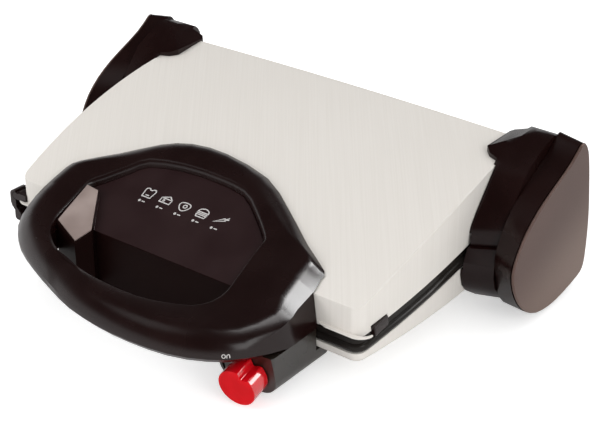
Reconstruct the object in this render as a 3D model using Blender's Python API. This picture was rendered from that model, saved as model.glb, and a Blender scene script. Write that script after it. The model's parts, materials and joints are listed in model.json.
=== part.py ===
"""Sandwich maker with an arched lid, side hinge pods, a ring handle and a front thermostat box.

Metres, +Z up, -Y is the front. The origin is on the surface that the feet stand on, at the
middle of the whole object. Sizes below are in metres unless a name says otherwise.
"""

import math

import bmesh
import bpy
from mathutils import Matrix, Vector

# Clearances, and how far a cutting shape reaches past what it cuts
FIT = 0.0003
RUN = 0.0004
OVERRUN = 0.010

# Plate plane, which rises to the back and parts the lid from the base
TILT = math.radians(8.5)
SPLIT_FRONT_Z = 0.0335

# Lid cover
LID_FRONT_Y = -0.060
LID_DEPTH = 0.1895
LID_BACK_Y = LID_FRONT_Y + LID_DEPTH
FAR = 2 * LID_DEPTH
LID_FRONT_HALF = 0.1497
LID_TAPER = 0.0010
LID_BACK_HALF = LID_FRONT_HALF - LID_TAPER
LID_BULGE = 0.0064
LID_CORNER = 0.0085
LID_BACK_BOW = 0.0030
LID_SIDE_HEIGHT = 0.0268
LID_FRONT_Z = SPLIT_FRONT_Z + LID_SIDE_HEIGHT
LID_RISE = 0.0472
LID_BACK_Z = LID_FRONT_Z + LID_RISE
LID_ARCH = 0.0077
LID_WALL = 0.0015
LID_FOLD = 0.0016
LID_SKIRT_GAP = 0.0055
LID_TOP_STEPS = 22
SIDE_STEPS = 12
CORNER_STEPS = 5
BACK_STEPS = 4

# Base shell
SHELL_FRONT_HEIGHT = 0.0135
SHELL_BOTTOM_Z = SPLIT_FRONT_Z - SHELL_FRONT_HEIGHT
SHELL_WALL = 0.0020
SHELL_EDGE = 0.0035

# Grill plates, one pattern for both
PLATE_BEAD = 0.0065
PLATE_PROUD = 0.0015
PLATE_RECESS = 0.0060
PLATE_FLOOR = 0.0080
PLATE_RIM = 0.0090
PLATE_RIB = 0.0015
PLATE_RIB_COUNT = 19
PLATE_FRONT_INSET = 0.0045
PLATE_SIDE_INSET = 0.0026
UPPER_RIM = 0.0100
FLANGE_HEIGHT = 0.0046
FLANGE_INSET = 0.0006

# Heaters and their reflectors, under and over the plates
HEATER_R = 0.00325
HEATER_SIDE_MARGIN = 0.0517
HEATER_HALF = LID_FRONT_HALF - HEATER_SIDE_MARGIN
HEATER_FRONT = 0.078
HEATER_BACK_MARGIN = 0.0245
HEATER_BACK = LID_DEPTH - HEATER_BACK_MARGIN
HEATER_END_HALF = 0.030
HEATER_BEND = 0.016
HEATER_SIDES = 12
REFLECTOR_WALL = 0.0008
REFLECTOR_ROOM = 0.0025
REFLECTOR_DEPTH = 2 * HEATER_R + REFLECTOR_ROOM
REFLECTOR_ASIDE = 0.018
REFLECTOR_HALF = HEATER_HALF + REFLECTOR_ASIDE
REFLECTOR_AHEAD = 0.014
REFLECTOR_FRONT = HEATER_FRONT - REFLECTOR_AHEAD
REFLECTOR_BEHIND = 0.012
REFLECTOR_BACK = HEATER_BACK + REFLECTOR_BEHIND

# Hinge
PIVOT_BEHIND = 0.0015
PIVOT_Y = LID_BACK_Y + PIVOT_BEHIND
PIVOT_OVER = 0.0042
PIVOT_Z = SPLIT_FRONT_Z + math.tan(TILT) * LID_DEPTH + PIVOT_OVER
OPEN_ANGLE = math.radians(105)
BOSS_R = 0.015
PIN_R = 0.0040
PIN_FIT = 0.00006
PIN_DEPTH = 0.0155
PIN_HEAD_R = 0.0062
PIN_HEAD = 0.0020
FLOAT_TRAVEL = 0.012
PIN_SIDES = 32

# Arms and cheeks, side by side with the lid and the base
ARM_OFF = 0.0083
ARM_IN_X = LID_BACK_HALF + ARM_OFF
ARM_WIDTH = 0.0192
ARM_OUT_X = ARM_IN_X + ARM_WIDTH
ARM_REACH = 0.0738
ARM_FRONT_Y = PIVOT_Y - ARM_REACH
ARM_FALL = 0.0085
ARM_FRONT_Z = PIVOT_Z - ARM_FALL
ARM_OVER_LID = 0.0107
ARM_TOP_Z = LID_BACK_Z + ARM_OVER_LID
VALLEY = 0.0090
HOOK_REACH = 0.0175
HOOK_X = ARM_IN_X - HOOK_REACH
HOOK_LENGTH = 0.034
HOOK_FRONT_Y = PIVOT_Y - HOOK_LENGTH
HOOK_LEAF = 0.0033
HOOK_BACK = 0.0042
HOOK_DROP = 0.0275
HOOK_DROP_Z = LID_BACK_Z - HOOK_DROP
HOOK_CORNER = 0.0050
CHEEK_REACH = 0.011
CHEEK_IN_X = ARM_IN_X - CHEEK_REACH
CHEEK_AHEAD = 0.0087
CHEEK_FRONT_Y = ARM_FRONT_Y - CHEEK_AHEAD

# Pods
POD_IN_X = ARM_OUT_X + RUN
POD_WIDTH = 0.0176
POD_OUT_X = POD_IN_X + POD_WIDTH
POD_WALL = 0.0022
POD_WEB = 0.0030
POD_AHEAD = 0.0010
POD_FRONT_Y = CHEEK_FRONT_Y - POD_AHEAD
POD_BEHIND = 0.0040
POD_BACK_Y = PIVOT_Y + BOSS_R + POD_BEHIND
POD_BOTTOM_Z = 0.0030
POD_RISE = 0.0022
POD_HEIGHT = ARM_TOP_Z - POD_BOTTOM_Z - POD_RISE
CAP_T = 0.0022
CAP_EDGE = 0.0009
CAP_LIP = 0.0035
CAP_LIP_WALL = 0.0016
GUIDE_T = 0.0025
GUIDE_REACH = 0.0095
BLOCK_T = 0.0095
BLOCK_HALF_Y = 0.0100
BLOCK_HALF_Z = 0.0095

# Feet, leg and cord gland
FOOT_R = 0.0064
FOOT_PROUD = 0.0030
REAR_FOOT_AHEAD = 0.027
REAR_FOOT_Y = PIVOT_Y - REAR_FOOT_AHEAD
LEG_INWARD = 0.0597
LEG_X = LEG_INWARD - LID_FRONT_HALF
LEG_BEHIND = 0.054
LEG_Y = LID_FRONT_Y + LEG_BEHIND
LEG_TOP_R = 0.0120
LEG_FOOT_R = 0.0080
FRONT_FOOT_T = 0.0026
FOOT_SIDES = 24
GLAND_INWARD = 0.0787
GLAND_X = GLAND_INWARD - LID_BACK_HALF
GLAND_R = 0.0085
GLAND_NECK_R = 0.0060
GLAND_BORE_R = 0.0037
GLAND_OUT = 0.0060
GLAND_FLANGE = 0.0020

# Handle ring
RING_INWARD = 0.0202
RING_LEFT_X = RING_INWARD - LID_FRONT_HALF
RING_NARROWER = 0.0514
RING_WIDTH = 2 * LID_FRONT_HALF - RING_NARROWER
RING_ON_LID = 0.0768
RING_BACK_Y = LID_FRONT_Y + RING_ON_LID
RING_REACH = 0.090
RING_FRONT_Y = LID_FRONT_Y - RING_REACH
RING_HEIGHT = 0.0084
RING_OVER_SPLIT = 0.0029
RING_BOTTOM_Z = SPLIT_FRONT_Z + RING_OVER_SPLIT
RING_WALL = 0.0022
RING_FLAT_RUN = 0.062
RING_NOSE_HEIGHT = 0.0081
RING_NOSE_Z = RING_BOTTOM_Z + RING_NOSE_HEIGHT
RING_BLOCK_HEIGHT = 0.0221
RING_BLOCK_Z = RING_BOTTOM_Z + RING_BLOCK_HEIGHT
RING_FLANK = 0.0150
RING_LEAN = 0.0035
RING_LIP = 0.0006
RING_STEP = 0.0003
RING_EDGE_IN = 0.0028
RING_EDGE_OUT = 0.0040
RING_SUB = 2
COVER_T = 0.0017

# Handle panel
PANEL_ON_LID = 0.050
PANEL_BACK_Y = LID_FRONT_Y + PANEL_ON_LID
PANEL_FALL = 0.0039
PANEL_NOSE_Z = LID_FRONT_Z - PANEL_FALL
PANEL_REACH = 0.020
PANEL_NOSE_Y = LID_FRONT_Y - PANEL_REACH
PANEL_RISE = 0.0258
PANEL_BACK_Z = PANEL_NOSE_Z + PANEL_RISE
PANEL_WALL = 0.0022
PANEL_DROP = 0.0200
PANEL_BOTTOM_Z = RING_BOTTOM_Z - PANEL_DROP
PANEL_LID_GAP = 0.0008
FACET_RISE = 0.0044
PAD_EDGE = 0.0016
PAD_T = 0.0008

# Control box and thermostat knob
BOX_INWARD = 0.0317
BOX_RIGHT_X = LID_FRONT_HALF - BOX_INWARD
BOX_WIDTH = 0.0445
BOX_LEFT_X = BOX_RIGHT_X - BOX_WIDTH
BOX_TOP_Z = RING_BOTTOM_Z - RUN
BOX_BOTTOM_Z = 0.0050
BOX_TAIL = 0.012
BOX_BACK_Y = LID_FRONT_Y + BOX_TAIL
BOX_CORNER = 0.008
BOX_KEEL = 0.012
BOX_WALL = 0.0022
BOX_TAIL_Z = 0.0090
KNOB_INWARD = 0.0185
KNOB_X = BOX_RIGHT_X - KNOB_INWARD
KNOB_AHEAD = 0.0460
KNOB_Y = LID_FRONT_Y - KNOB_AHEAD
KNOB_Z = 0.0190
KNOB_YAW = math.radians(6)
KNOB_DIP = math.radians(10)
KNOB_R = 0.0135
KNOB_LENGTH = 0.0165
KNOB_EDGE = 0.0007
KNOB_NOTCH = 0.0045
KNOB_SIDES = 48
SHAFT_R = 0.0030
SHAFT_SIDES = 24
SHAFT_IN_KNOB = 0.0110
STAT_R = 0.0090
STAT_LENGTH = 0.0120
STAT_NECK_R = 0.0045
BOX_LID_T = 0.0018
BOX_FOOT_INWARD = 0.0225
BOX_FOOT_X = BOX_RIGHT_X - BOX_FOOT_INWARD
BOX_FOOT_AHEAD = 0.022
BOX_FOOT_Y = LID_FRONT_Y - BOX_FOOT_AHEAD

# Plate release clips, placed along the plate from its front edge
CLIP_AT = 0.0205
CLIP_HALF = 0.0075
CLIP_LOW = 0.0010
CLIP_HIGH = 0.0088
CLIP_INWARD = 0.0072
CLIP_IN_X = LID_FRONT_HALF - CLIP_INWARD
CLIP_LENGTH = 0.0115
CLIP_OUT_X = CLIP_IN_X + CLIP_LENGTH
CLIP_TRAVEL = 0.0030
CLIP_EDGE = 0.0010

# Side latch on the lid's left, placed along the side
LATCH_BEHIND = 0.0045
LATCH_Y = LID_FRONT_Y + LATCH_BEHIND
LATCH_HALF = 0.0055
LATCH_PIN_OVER = 0.0105
LATCH_PIN_Z = SPLIT_FRONT_Z + LATCH_PIN_OVER
LATCH_PIN_OUT = 0.0062
LATCH_PIN_R = 0.0012
LATCH_BARREL_R = 0.0028
LATCH_OUT = 0.0115
LATCH_LOW_OUT = 0.0080
LATCH_RISE = 0.0040
LATCH_TOP_Z = LATCH_PIN_Z + LATCH_RISE
LATCH_WAIST = 0.0120
LATCH_WAIST_Z = LATCH_PIN_Z - LATCH_WAIST
LATCH_DROP = 0.0195
LATCH_LOW_Z = LATCH_PIN_Z - LATCH_DROP
LATCH_LUG = 0.0024
LUG_TOP = 0.0022
LATCH_CLEAR = 0.0006

# Screws
SCREW_R = 0.0016
SCREW_HEAD_R = 0.0032
SCREW_HEAD = 0.0022
SCREW_BITE = 0.0080
SCREW_FIT = 0.00015
SCREW_SIDES = 12
SCREW_HEAD_GAP = 0.0002

# Electrical parts in the base
BLOCK_BOX = (0.020, 0.012, 0.009)
FUSE_R = 0.0022
FUSE_LENGTH = 0.016

# Pod side outline, as shares of the pod's depth and height from its front bottom corner
POD_SHARES = [
    (0.000, 0.420), (0.022, 0.500), (0.100, 0.610), (0.215, 0.705), (0.360, 0.785), (0.520, 0.850),
    (0.675, 0.915), (0.775, 0.975), (0.815, 0.998), (0.860, 0.985), (0.905, 0.925), (0.940, 0.800),
    (0.965, 0.660), (0.990, 0.500), (1.000, 0.340), (0.992, 0.160), (0.965, 0.085), (0.900, 0.052),
    (0.700, 0.012), (0.520, 0.000), (0.360, 0.024), (0.220, 0.090), (0.110, 0.190), (0.032, 0.310),
]

# Handle ring: outer and inner edge, as shares of the ring's width and depth from its front left
RING_OUTER_SHARES = [
    (0.450, 1.000), (0.325, 0.990), (0.240, 0.930), (0.142, 0.805), (0.050, 0.700), (0.026, 0.645),
    (0.018, 0.534), (0.014, 0.440), (0.045, 0.334), (0.122, 0.236), (0.228, 0.156), (0.338, 0.088),
    (0.446, 0.032), (0.560, 0.005), (0.672, 0.0013), (0.790, 0.024), (0.888, 0.085), (0.958, 0.185),
    (0.992, 0.350), (0.985, 0.434), (0.984, 0.534), (0.977, 0.600), (0.969, 0.636), (0.870, 0.720),
    (0.742, 0.845), (0.614, 0.952),
]
RING_INNER_SHARES = [
    (0.502, 0.831), (0.382, 0.826), (0.274, 0.790), (0.238, 0.730), (0.190, 0.641), (0.166, 0.600),
    (0.162, 0.534), (0.166, 0.428), (0.182, 0.338), (0.226, 0.273), (0.294, 0.220), (0.366, 0.190),
    (0.438, 0.169), (0.514, 0.157), (0.606, 0.160), (0.686, 0.190), (0.750, 0.232), (0.782, 0.291),
    (0.790, 0.362), (0.782, 0.439), (0.774, 0.534), (0.772, 0.594), (0.770, 0.635), (0.742, 0.677),
    (0.678, 0.748), (0.606, 0.813),
]
# Raised block at the panel's left end, in the same shares: back left, back right, right, tip, left
FACET_SHARES = [(0.1621, 0.5833), (0.2101, 0.5785), (0.3032, 0.3867), (0.2843, 0.3118), (0.1742, 0.3717)]
# For each point above: the width of the ring's sloping flank, the height of its outer wall and how
# square its fold is, as shares of the flank width and of the way from nose height to block height
RING_FLANK_SHARES = [
    (1.00, 0.0, 0.0), (1.00, 0.0, 0.0), (1.00, 0.0, 0.0), (1.00, 0.0, 0.0), (0.95, 0.0, 0.0),
    (0.95, 0.0, 0.0), (1.00, 1.21, 0.0), (1.10, 0.55, 0.0), (1.20, 0.15, 0.0), (1.20, 0.0, 0.0),
    (1.20, 0.0, 0.0), (1.15, 0.0, 0.0), (1.10, 0.0, 0.0), (1.10, 0.0, 0.0), (1.10, 0.0, 0.0),
    (1.10, 0.0, 0.0), (1.05, 0.0, 0.0), (0.90, 0.06, 0.1), (0.70, 0.66, 0.8), (0.95, 0.88, 1.0),
    (1.08, 1.21, 1.0), (0.97, 1.0, 1.0), (0.87, 1.0, 1.0), (1.00, 0.0, 0.4), (1.00, 0.0, 0.0),
    (1.00, 0.0, 0.0),
]
POD_LOW_SHARE = 0.32
# Arm side outline above its boss, as shares of its depth and its height over its foot
ARM_SHARES = [
    (1.000, 0.720), (0.988, 0.810), (0.955, 0.880), (0.910, 0.930), (0.855, 0.968), (0.790, 0.985),
    (0.690, 0.955), (0.560, 0.890), (0.400, 0.790), (0.320, 0.680), (0.190, 0.495), (0.085, 0.330),
    (0.025, 0.215), (0.000, 0.100),
]
# Arm's top from the hook's tip out to the pod, as shares of its width and its rise
RIDGE_SHARES = [(0.00, 0.00), (0.06, 0.10), (0.28, 0.42), (0.45, 0.68), (0.62, 0.87), (0.80, 0.97), (1.00, 1.00)]
# Cheek side outline below its foot line, as shares of its depth and height
CHEEK_SHARES = [
    (0.000, 0.800), (0.000, 0.640), (0.025, 0.480), (0.085, 0.350), (0.200, 0.205), (0.340, 0.110),
    (0.520, 0.070), (0.940, 0.090), (0.985, 0.115), (1.000, 0.170),
]
# The flank's two inner rows where it is rounded: share of its width, and share of its fall
FLANK_ROW_SHARES = [(0.62, 0.16), (0.28, 0.48)]
EDGE_ROUND_SHARE = 0.3
LEFT_STEP = 6
RIGHT_STEP = 20
GRIP_SCREW_STATIONS = (9, 13, 16)

MATERIALS = {
    "brushed_silver": ((0.80, 0.79, 0.77), 0.34, 0.85),
    "satin_black": ((0.022, 0.018, 0.018), 0.42, 0.0),
    "panel_black": ((0.040, 0.034, 0.034), 0.50, 0.0),
    "taupe_grey": ((0.20, 0.18, 0.17), 0.38, 0.55),
    "nonstick_black": ((0.015, 0.014, 0.014), 0.25, 0.0),
    "knob_red": ((0.70, 0.010, 0.020), 0.12, 0.0),
    "steel": ((0.55, 0.55, 0.55), 0.30, 1.0),
    "heater_steel": ((0.24, 0.22, 0.20), 0.55, 1.0),
    "rubber_black": ((0.030, 0.030, 0.030), 0.80, 0.0),
    "ceramic_white": ((0.75, 0.73, 0.68), 0.50, 0.0),
}


def clear_scene():
    for item in list(bpy.data.objects):
        bpy.data.objects.remove(item, do_unlink=True)


def material(name):
    found = bpy.data.materials.get(name)
    if found:
        return found
    colour, roughness, metallic = MATERIALS[name]
    made = bpy.data.materials.new(name)
    made.use_nodes = True
    shader = made.node_tree.nodes["Principled BSDF"]
    shader.inputs["Base Color"].default_value = (*colour, 1)
    shader.inputs["Roughness"].default_value = roughness
    shader.inputs["Metallic"].default_value = metallic
    return made


def solid(name, points, faces):
    """One closed object from points and faces, with its faces turned outwards."""
    mesh = bpy.data.meshes.new(name)
    mesh.from_pydata([tuple(point) for point in points], [], faces)
    work = bmesh.new()
    work.from_mesh(mesh)
    bmesh.ops.recalc_face_normals(work, faces=work.faces)
    work.to_mesh(mesh)
    work.free()
    made = bpy.data.objects.new(name, mesh)
    bpy.context.scene.collection.objects.link(made)
    return made


def prism(name, outline, low, high, along="Z"):
    """Extrude an outline: (x, y) along Z, (y, z) along X or (x, z) along Y."""
    order = {"Z": lambda a, b, c: (a, b, c), "X": lambda a, b, c: (c, a, b), "Y": lambda a, b, c: (a, c, b)}
    turn = order[along]
    count = len(outline)
    points = [turn(a, b, low) for a, b in outline] + [turn(a, b, high) for a, b in outline]
    faces = [list(range(count)), list(range(2 * count - 1, count - 1, -1))]
    for i in range(count):
        j = (i + 1) % count
        faces.append([i, j, count + j, count + i])
    return solid(name, points, faces)


def arc(centre, radius, start, end, steps):
    """Points on an arc, with its angles in degrees."""
    points = []
    for i in range(steps + 1):
        angle = math.radians(start + (end - start) * i / steps)
        points.append((centre[0] + radius * math.cos(angle), centre[1] + radius * math.sin(angle)))
    return points


def circle(centre, radius, sides):
    return arc(centre, radius, 0, 360, sides)[:-1]


def box(name, low, high):
    outline = [(low[0], low[1]), (high[0], low[1]), (high[0], high[1]), (low[0], high[1])]
    return prism(name, outline, low[2], high[2])


def rod(name, centre, radius, low, high, along, sides):
    return prism(name, circle(centre, radius, sides), low, high, along)


def bake(item):
    """Keep an object's evaluated mesh as its mesh, and drop its modifiers."""
    graph = bpy.context.evaluated_depsgraph_get()
    mesh = bpy.data.meshes.new_from_object(item.evaluated_get(graph))
    item.modifiers.clear()
    item.data = mesh


def combine(item, tool, operation):
    step = item.modifiers.new("step", "BOOLEAN")
    step.operation = operation
    step.solver = "EXACT"
    step.object = tool
    bake(item)
    bpy.data.objects.remove(tool, do_unlink=True)
    return item


def cut(item, tool):
    return combine(item, tool, "DIFFERENCE")


def keep(item, tool):
    return combine(item, tool, "INTERSECT")


def add(item, tool):
    return combine(item, tool, "UNION")


def soften(item, width, segments=2, angle=50):
    """Round the edges that are sharper than an angle in degrees."""
    edge = item.modifiers.new("edge", "BEVEL")
    edge.width = width
    edge.segments = segments
    edge.limit_method = "ANGLE"
    edge.angle_limit = math.radians(angle)
    bake(item)
    return item


def mirrored(item, name):
    """A copy of an object on the other side of the YZ plane."""
    mesh = item.data.copy()
    mesh.transform(Matrix.Scale(-1, 4, (1, 0, 0)))
    mesh.flip_normals()
    made = bpy.data.objects.new(name, mesh)
    bpy.context.scene.collection.objects.link(made)
    return made


def pair(item, stem):
    """Name an object as the right one, and make its mirror image the left one."""
    item.name = stem + "_right"
    return [item, mirrored(item, stem + "_left")]


def finish(items, parent, slot):
    """Give each piece its material, smooth its round faces and hang it on its frame."""
    for item in items:
        item.data.materials.clear()
        item.data.materials.append(material(slot))
        item.data.polygons.foreach_set("material_index", [0] * len(item.data.polygons))
        item.data.shade_smooth()
        item.data.set_sharp_from_angle(angle=math.radians(32))
        item.data.transform(parent.matrix_world.inverted())
        item.parent = parent


def frame_at(name, matrix, parent=None):
    made = bpy.data.objects.new(name, None)
    bpy.context.scene.collection.objects.link(made)
    if parent:
        made.parent = parent
        made.matrix_local = parent.matrix_world.inverted() @ matrix
    else:
        made.matrix_local = matrix
    bpy.context.view_layer.update()
    return made


# Shape rules shared by the lid, the base and the plates
def share_of_depth(y):
    return min(max((y - LID_FRONT_Y) / LID_DEPTH, 0), 1)


def half_width(y):
    t = share_of_depth(y)
    return LID_FRONT_HALF + (LID_BACK_HALF - LID_FRONT_HALF) * t + 4 * LID_BULGE * t * (1 - t)


def lid_top(y):
    t = share_of_depth(y)
    return LID_FRONT_Z + (LID_BACK_Z - LID_FRONT_Z) * t + 4 * LID_ARCH * t * (1 - t)


def split_z(y):
    return SPLIT_FRONT_Z + math.tan(TILT) * (y - LID_FRONT_Y)


def plan(inset, front_inset=None, back_inset=None):
    """The barrel-sided outline of the lid and base, seen from above, with a bowed back."""
    front = LID_FRONT_Y + (inset if front_inset is None else front_inset)
    back = LID_BACK_Y - (inset if back_inset is None else back_inset)
    radius = LID_CORNER - inset
    right = []
    corner_y = front + radius
    right += arc((half_width(corner_y) - inset - radius, corner_y), radius, -90, 0, CORNER_STEPS)
    far_y = back - radius
    for i in range(1, SIDE_STEPS):
        y = corner_y + (far_y - corner_y) * i / SIDE_STEPS
        right.append((half_width(y) - inset, y))
    far_x = half_width(far_y) - inset - radius
    right += arc((far_x, far_y), radius, 0, 90, CORNER_STEPS)
    for i in range(1, BACK_STEPS):
        share = i / BACK_STEPS
        right.append((far_x * (1 - share), back + LID_BACK_BOW * (1 - (1 - share) ** 2)))
    left = [(-x, y) for x, y in reversed(right)]
    return right + [(0, back + LID_BACK_BOW)] + left


PLATE_SPACE = Matrix.Translation((0, LID_FRONT_Y, SPLIT_FRONT_Z)) @ Matrix.Rotation(TILT, 4, "X")


def along_plate(outline):
    """Stretch a plan outline on to the tilted plate plane."""
    return [(x, (y - LID_FRONT_Y) / math.cos(TILT)) for x, y in outline]


def to_world(item):
    item.data.transform(PLATE_SPACE)
    return item


def slope_profile(front, back, gap, far_z):
    """A side outline from a line above the split plane to a level far from it."""
    return [(front, split_z(front) + gap), (back, split_z(back) + gap), (back, far_z), (front, far_z)]


def lid_block(inset, drop):
    """The solid under the lid's arched top, to a level drop below the front fold."""
    front = LID_FRONT_Y - OVERRUN
    back = LID_BACK_Y + OVERRUN
    profile = [(back, LID_FRONT_Z - drop), (front, LID_FRONT_Z - drop), (front, lid_top(front) - inset)]
    for i in range(LID_TOP_STEPS + 1):
        y = LID_FRONT_Y + LID_DEPTH * i / LID_TOP_STEPS
        profile.append((y, lid_top(y) - inset))
    profile.append((back, lid_top(back) - inset))
    wide = LID_FRONT_HALF + LID_BULGE + OVERRUN
    block = prism("block", plan(inset), LID_FRONT_Z - drop - OVERRUN, LID_BACK_Z + OVERRUN)
    return keep(block, prism("arch", profile, -wide, wide, "X"))


def below_line(gap, wide):
    """Everything under a line that lies a gap above the split plane."""
    front = LID_FRONT_Y - OVERRUN
    back = LID_BACK_Y + OVERRUN
    return prism("under", slope_profile(front, back, gap, -OVERRUN), -wide, wide, "X")


def above_line(gap, wide):
    front = LID_FRONT_Y - OVERRUN
    back = LID_BACK_Y + OVERRUN
    return prism("over", slope_profile(front, back, gap, LID_BACK_Z + OVERRUN), -wide, wide, "X")


def clip_space(margin, reach_in, reach_out):
    """The box that a release clip fills on the right side, in the plate's space."""
    low = (CLIP_IN_X - reach_in, CLIP_AT - CLIP_HALF - margin, CLIP_LOW - margin)
    high = (CLIP_OUT_X + reach_out, CLIP_AT + CLIP_HALF + margin, CLIP_HIGH + margin)
    return low, high


def both_sides(item, make_tool):
    """Cut a piece with a tool on the right and with its mirror image on the left."""
    tool = make_tool()
    other = mirrored(tool, "left_tool")
    cut(item, tool)
    return cut(item, other)


def make_lid_cover():
    """Thin arched cover with a skirt all round."""
    wide = LID_FRONT_HALF + LID_BULGE + OVERRUN
    cover = soften(lid_block(0, LID_FRONT_Z), LID_FOLD)
    cut(cover, below_line(LID_SKIRT_GAP, wide))
    cut(cover, lid_block(LID_WALL, LID_FRONT_Z))
    both_sides(cover, lambda: to_world(box("notch", *clip_space(RUN, 0, OVERRUN))))
    for x, y in handle_fixings():
        top = lid_top(y)
        cut(cover, rod("hole", (x, y), SCREW_R + SCREW_FIT, top - OVERRUN, top + OVERRUN, "Z", SCREW_SIDES))
    for y, z in arm_fixings():
        both_sides(cover, lambda: arm_screw_hole(y, z))
    cover.name = "lid_cover"
    return cover


def make_lower_shell():
    """Tub of the base, open at the top, with its rim parallel to the plates."""
    wide = LID_FRONT_HALF + LID_BULGE + OVERRUN
    shell = prism("lower_shell", plan(0), SHELL_BOTTOM_Z, LID_BACK_Z)
    soften(shell, SHELL_EDGE, 3)
    cut(shell, above_line(-PLATE_BEAD - 2 * FIT, wide))
    inner = prism("inner", plan(SHELL_WALL), SHELL_BOTTOM_Z + SHELL_WALL, LID_BACK_Z)
    cut(shell, inner)
    for y, z in cheek_fixings():
        both_sides(shell, lambda: cheek_screw_hole(y, z))
    back = back_y(GLAND_X)
    cut(shell, rod("entry", (GLAND_X, gland_z()), GLAND_NECK_R + FIT, back - OVERRUN, back + OVERRUN, "Y", FOOT_SIDES))
    return shell


def rib_profile(half, depth, turn):
    """Section across a plate's hollow, from its mouth down to its ribs."""
    profile = [(half, 0), (half, -depth)]
    pitch = 2 * half / (2 * PLATE_RIB_COUNT + 1)
    x = half
    for _ in range(PLATE_RIB_COUNT):
        x -= pitch
        profile.append((x, -depth))
        profile.append((x - pitch / 4, PLATE_RIB - depth))
        profile.append((x - 3 * pitch / 4, PLATE_RIB - depth))
        x -= pitch
        profile.append((x, -depth))
    profile += [(-half, -depth), (-half, 0)]
    return [(x, z * turn) for x, z in profile]


def make_plate(name, outline, rim, turn):
    """Cast grill plate in the plate's space: rim, deeper floor and ribs. Turn is 1 below, -1 above."""
    front = PLATE_RIM
    back = LID_DEPTH / math.cos(TILT) - PLATE_RIM
    half = LID_FRONT_HALF - PLATE_RIM
    edge = FIT / 2
    levels = sorted((-edge * turn, -rim * turn))
    plate = prism(name, along_plate(outline), levels[0], levels[1])
    soften(plate, PLATE_BEAD * 0.42, 3)
    if rim < PLATE_FLOOR:
        floor = sorted((-rim / 2 * turn, -PLATE_FLOOR * turn))
        add(plate, box("floor", (-half, front, floor[0]), (half, back, floor[1])))
    else:
        pocket = sorted((-PLATE_FLOOR * turn, -(rim + OVERRUN) * turn))
        cut(plate, box("pocket", (-half, front, pocket[0]), (half, back, pocket[1])))
    hollow = [(x, z + (OVERRUN * turn if abs(z) < FIT else 0)) for x, z in rib_profile(half - PLATE_RIB, PLATE_RECESS, turn)]
    cut(plate, prism("hollow", hollow, front + PLATE_RIB, back - PLATE_RIB, "Y"))
    return plate


def make_lower_plate():
    plate = make_plate("lower_plate", plan(-PLATE_PROUD), PLATE_BEAD, 1)
    return to_world(plate)


def make_upper_plate():
    outline = plan(PLATE_SIDE_INSET, PLATE_FRONT_INSET, PLATE_SIDE_INSET)
    plate = make_plate("upper_plate", outline, UPPER_RIM, -1)
    flange = along_plate(plan(FLANGE_INSET))
    add(plate, keep(prism("flange", flange, FIT / 2, FLANGE_HEIGHT), flange_ring()))
    low, high = clip_space(FIT, CLIP_TRAVEL + FIT, OVERRUN)
    both_sides(plate, lambda: box("pocket", low, (high[0], high[1], high[2] + OVERRUN)))
    return to_world(plate)


def flange_ring():
    """Space round the upper plate's hollow, for its visible edge."""
    ring = prism("ring", along_plate(plan(-OVERRUN)), 0, OVERRUN)
    middle = along_plate(plan(PLATE_SIDE_INSET * 2, PLATE_FRONT_INSET * 2, PLATE_SIDE_INSET * 2))
    return cut(ring, prism("middle", middle, -OVERRUN, 2 * OVERRUN))


def make_clip():
    """Sliding plate release on the right side, with finger ridges on its outer end."""
    low, high = clip_space(0, 0, 0)
    clip = soften(box("clip", low, high), CLIP_EDGE)
    return to_world(clip)


def latch_section():
    """Front view of the latch: barrel, body and hook end, as (x, z) beside the lid's left side."""
    side = -half_width(LATCH_Y)
    out = side - LATCH_OUT
    low_out = side - LATCH_LOW_OUT
    inner = side - PLATE_PROUD - LATCH_CLEAR
    edge = LATCH_BARREL_R
    pin = side - LATCH_PIN_OUT
    return [
        (inner, LATCH_LOW_Z), (low_out + edge / 2, LATCH_LOW_Z), (low_out, LATCH_LOW_Z + edge / 2),
        (low_out, LATCH_WAIST_Z), (out + edge / 3, LATCH_WAIST_Z + edge), (out, LATCH_WAIST_Z + 2 * edge),
        (out, LATCH_TOP_Z - edge), (out + edge / 3, LATCH_TOP_Z - edge / 3), (out + edge, LATCH_TOP_Z),
        (pin, LATCH_TOP_Z), (pin, LATCH_PIN_Z), (pin, LATCH_WAIST_Z + edge),
        (inner, LATCH_WAIST_Z - edge / 2),
    ]


def make_latch():
    """Hanging latch on the lid's left side, whose hook end lies just off the plates' rims."""
    low = LATCH_Y - LATCH_HALF
    high = LATCH_Y + LATCH_HALF
    latch = prism("side_latch", latch_section(), low, high, "Y")
    centre = (-half_width(LATCH_Y) - LATCH_PIN_OUT, LATCH_PIN_Z)
    inside = LATCH_LUG + RUN
    add(latch, rod("barrel", centre, LATCH_BARREL_R, low + inside, high - inside, "Y", SHAFT_SIDES))
    room = LATCH_BARREL_R + RUN
    for start, end in ((low - RUN, low + inside), (high - inside, high + RUN)):
        cut(latch, rod("room", centre, room, start, end, "Y", SHAFT_SIDES))
    cut(latch, rod("bore", centre, LATCH_PIN_R + PIN_FIT, low - RUN, high + RUN, "Y", SHAFT_SIDES))
    return latch


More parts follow.
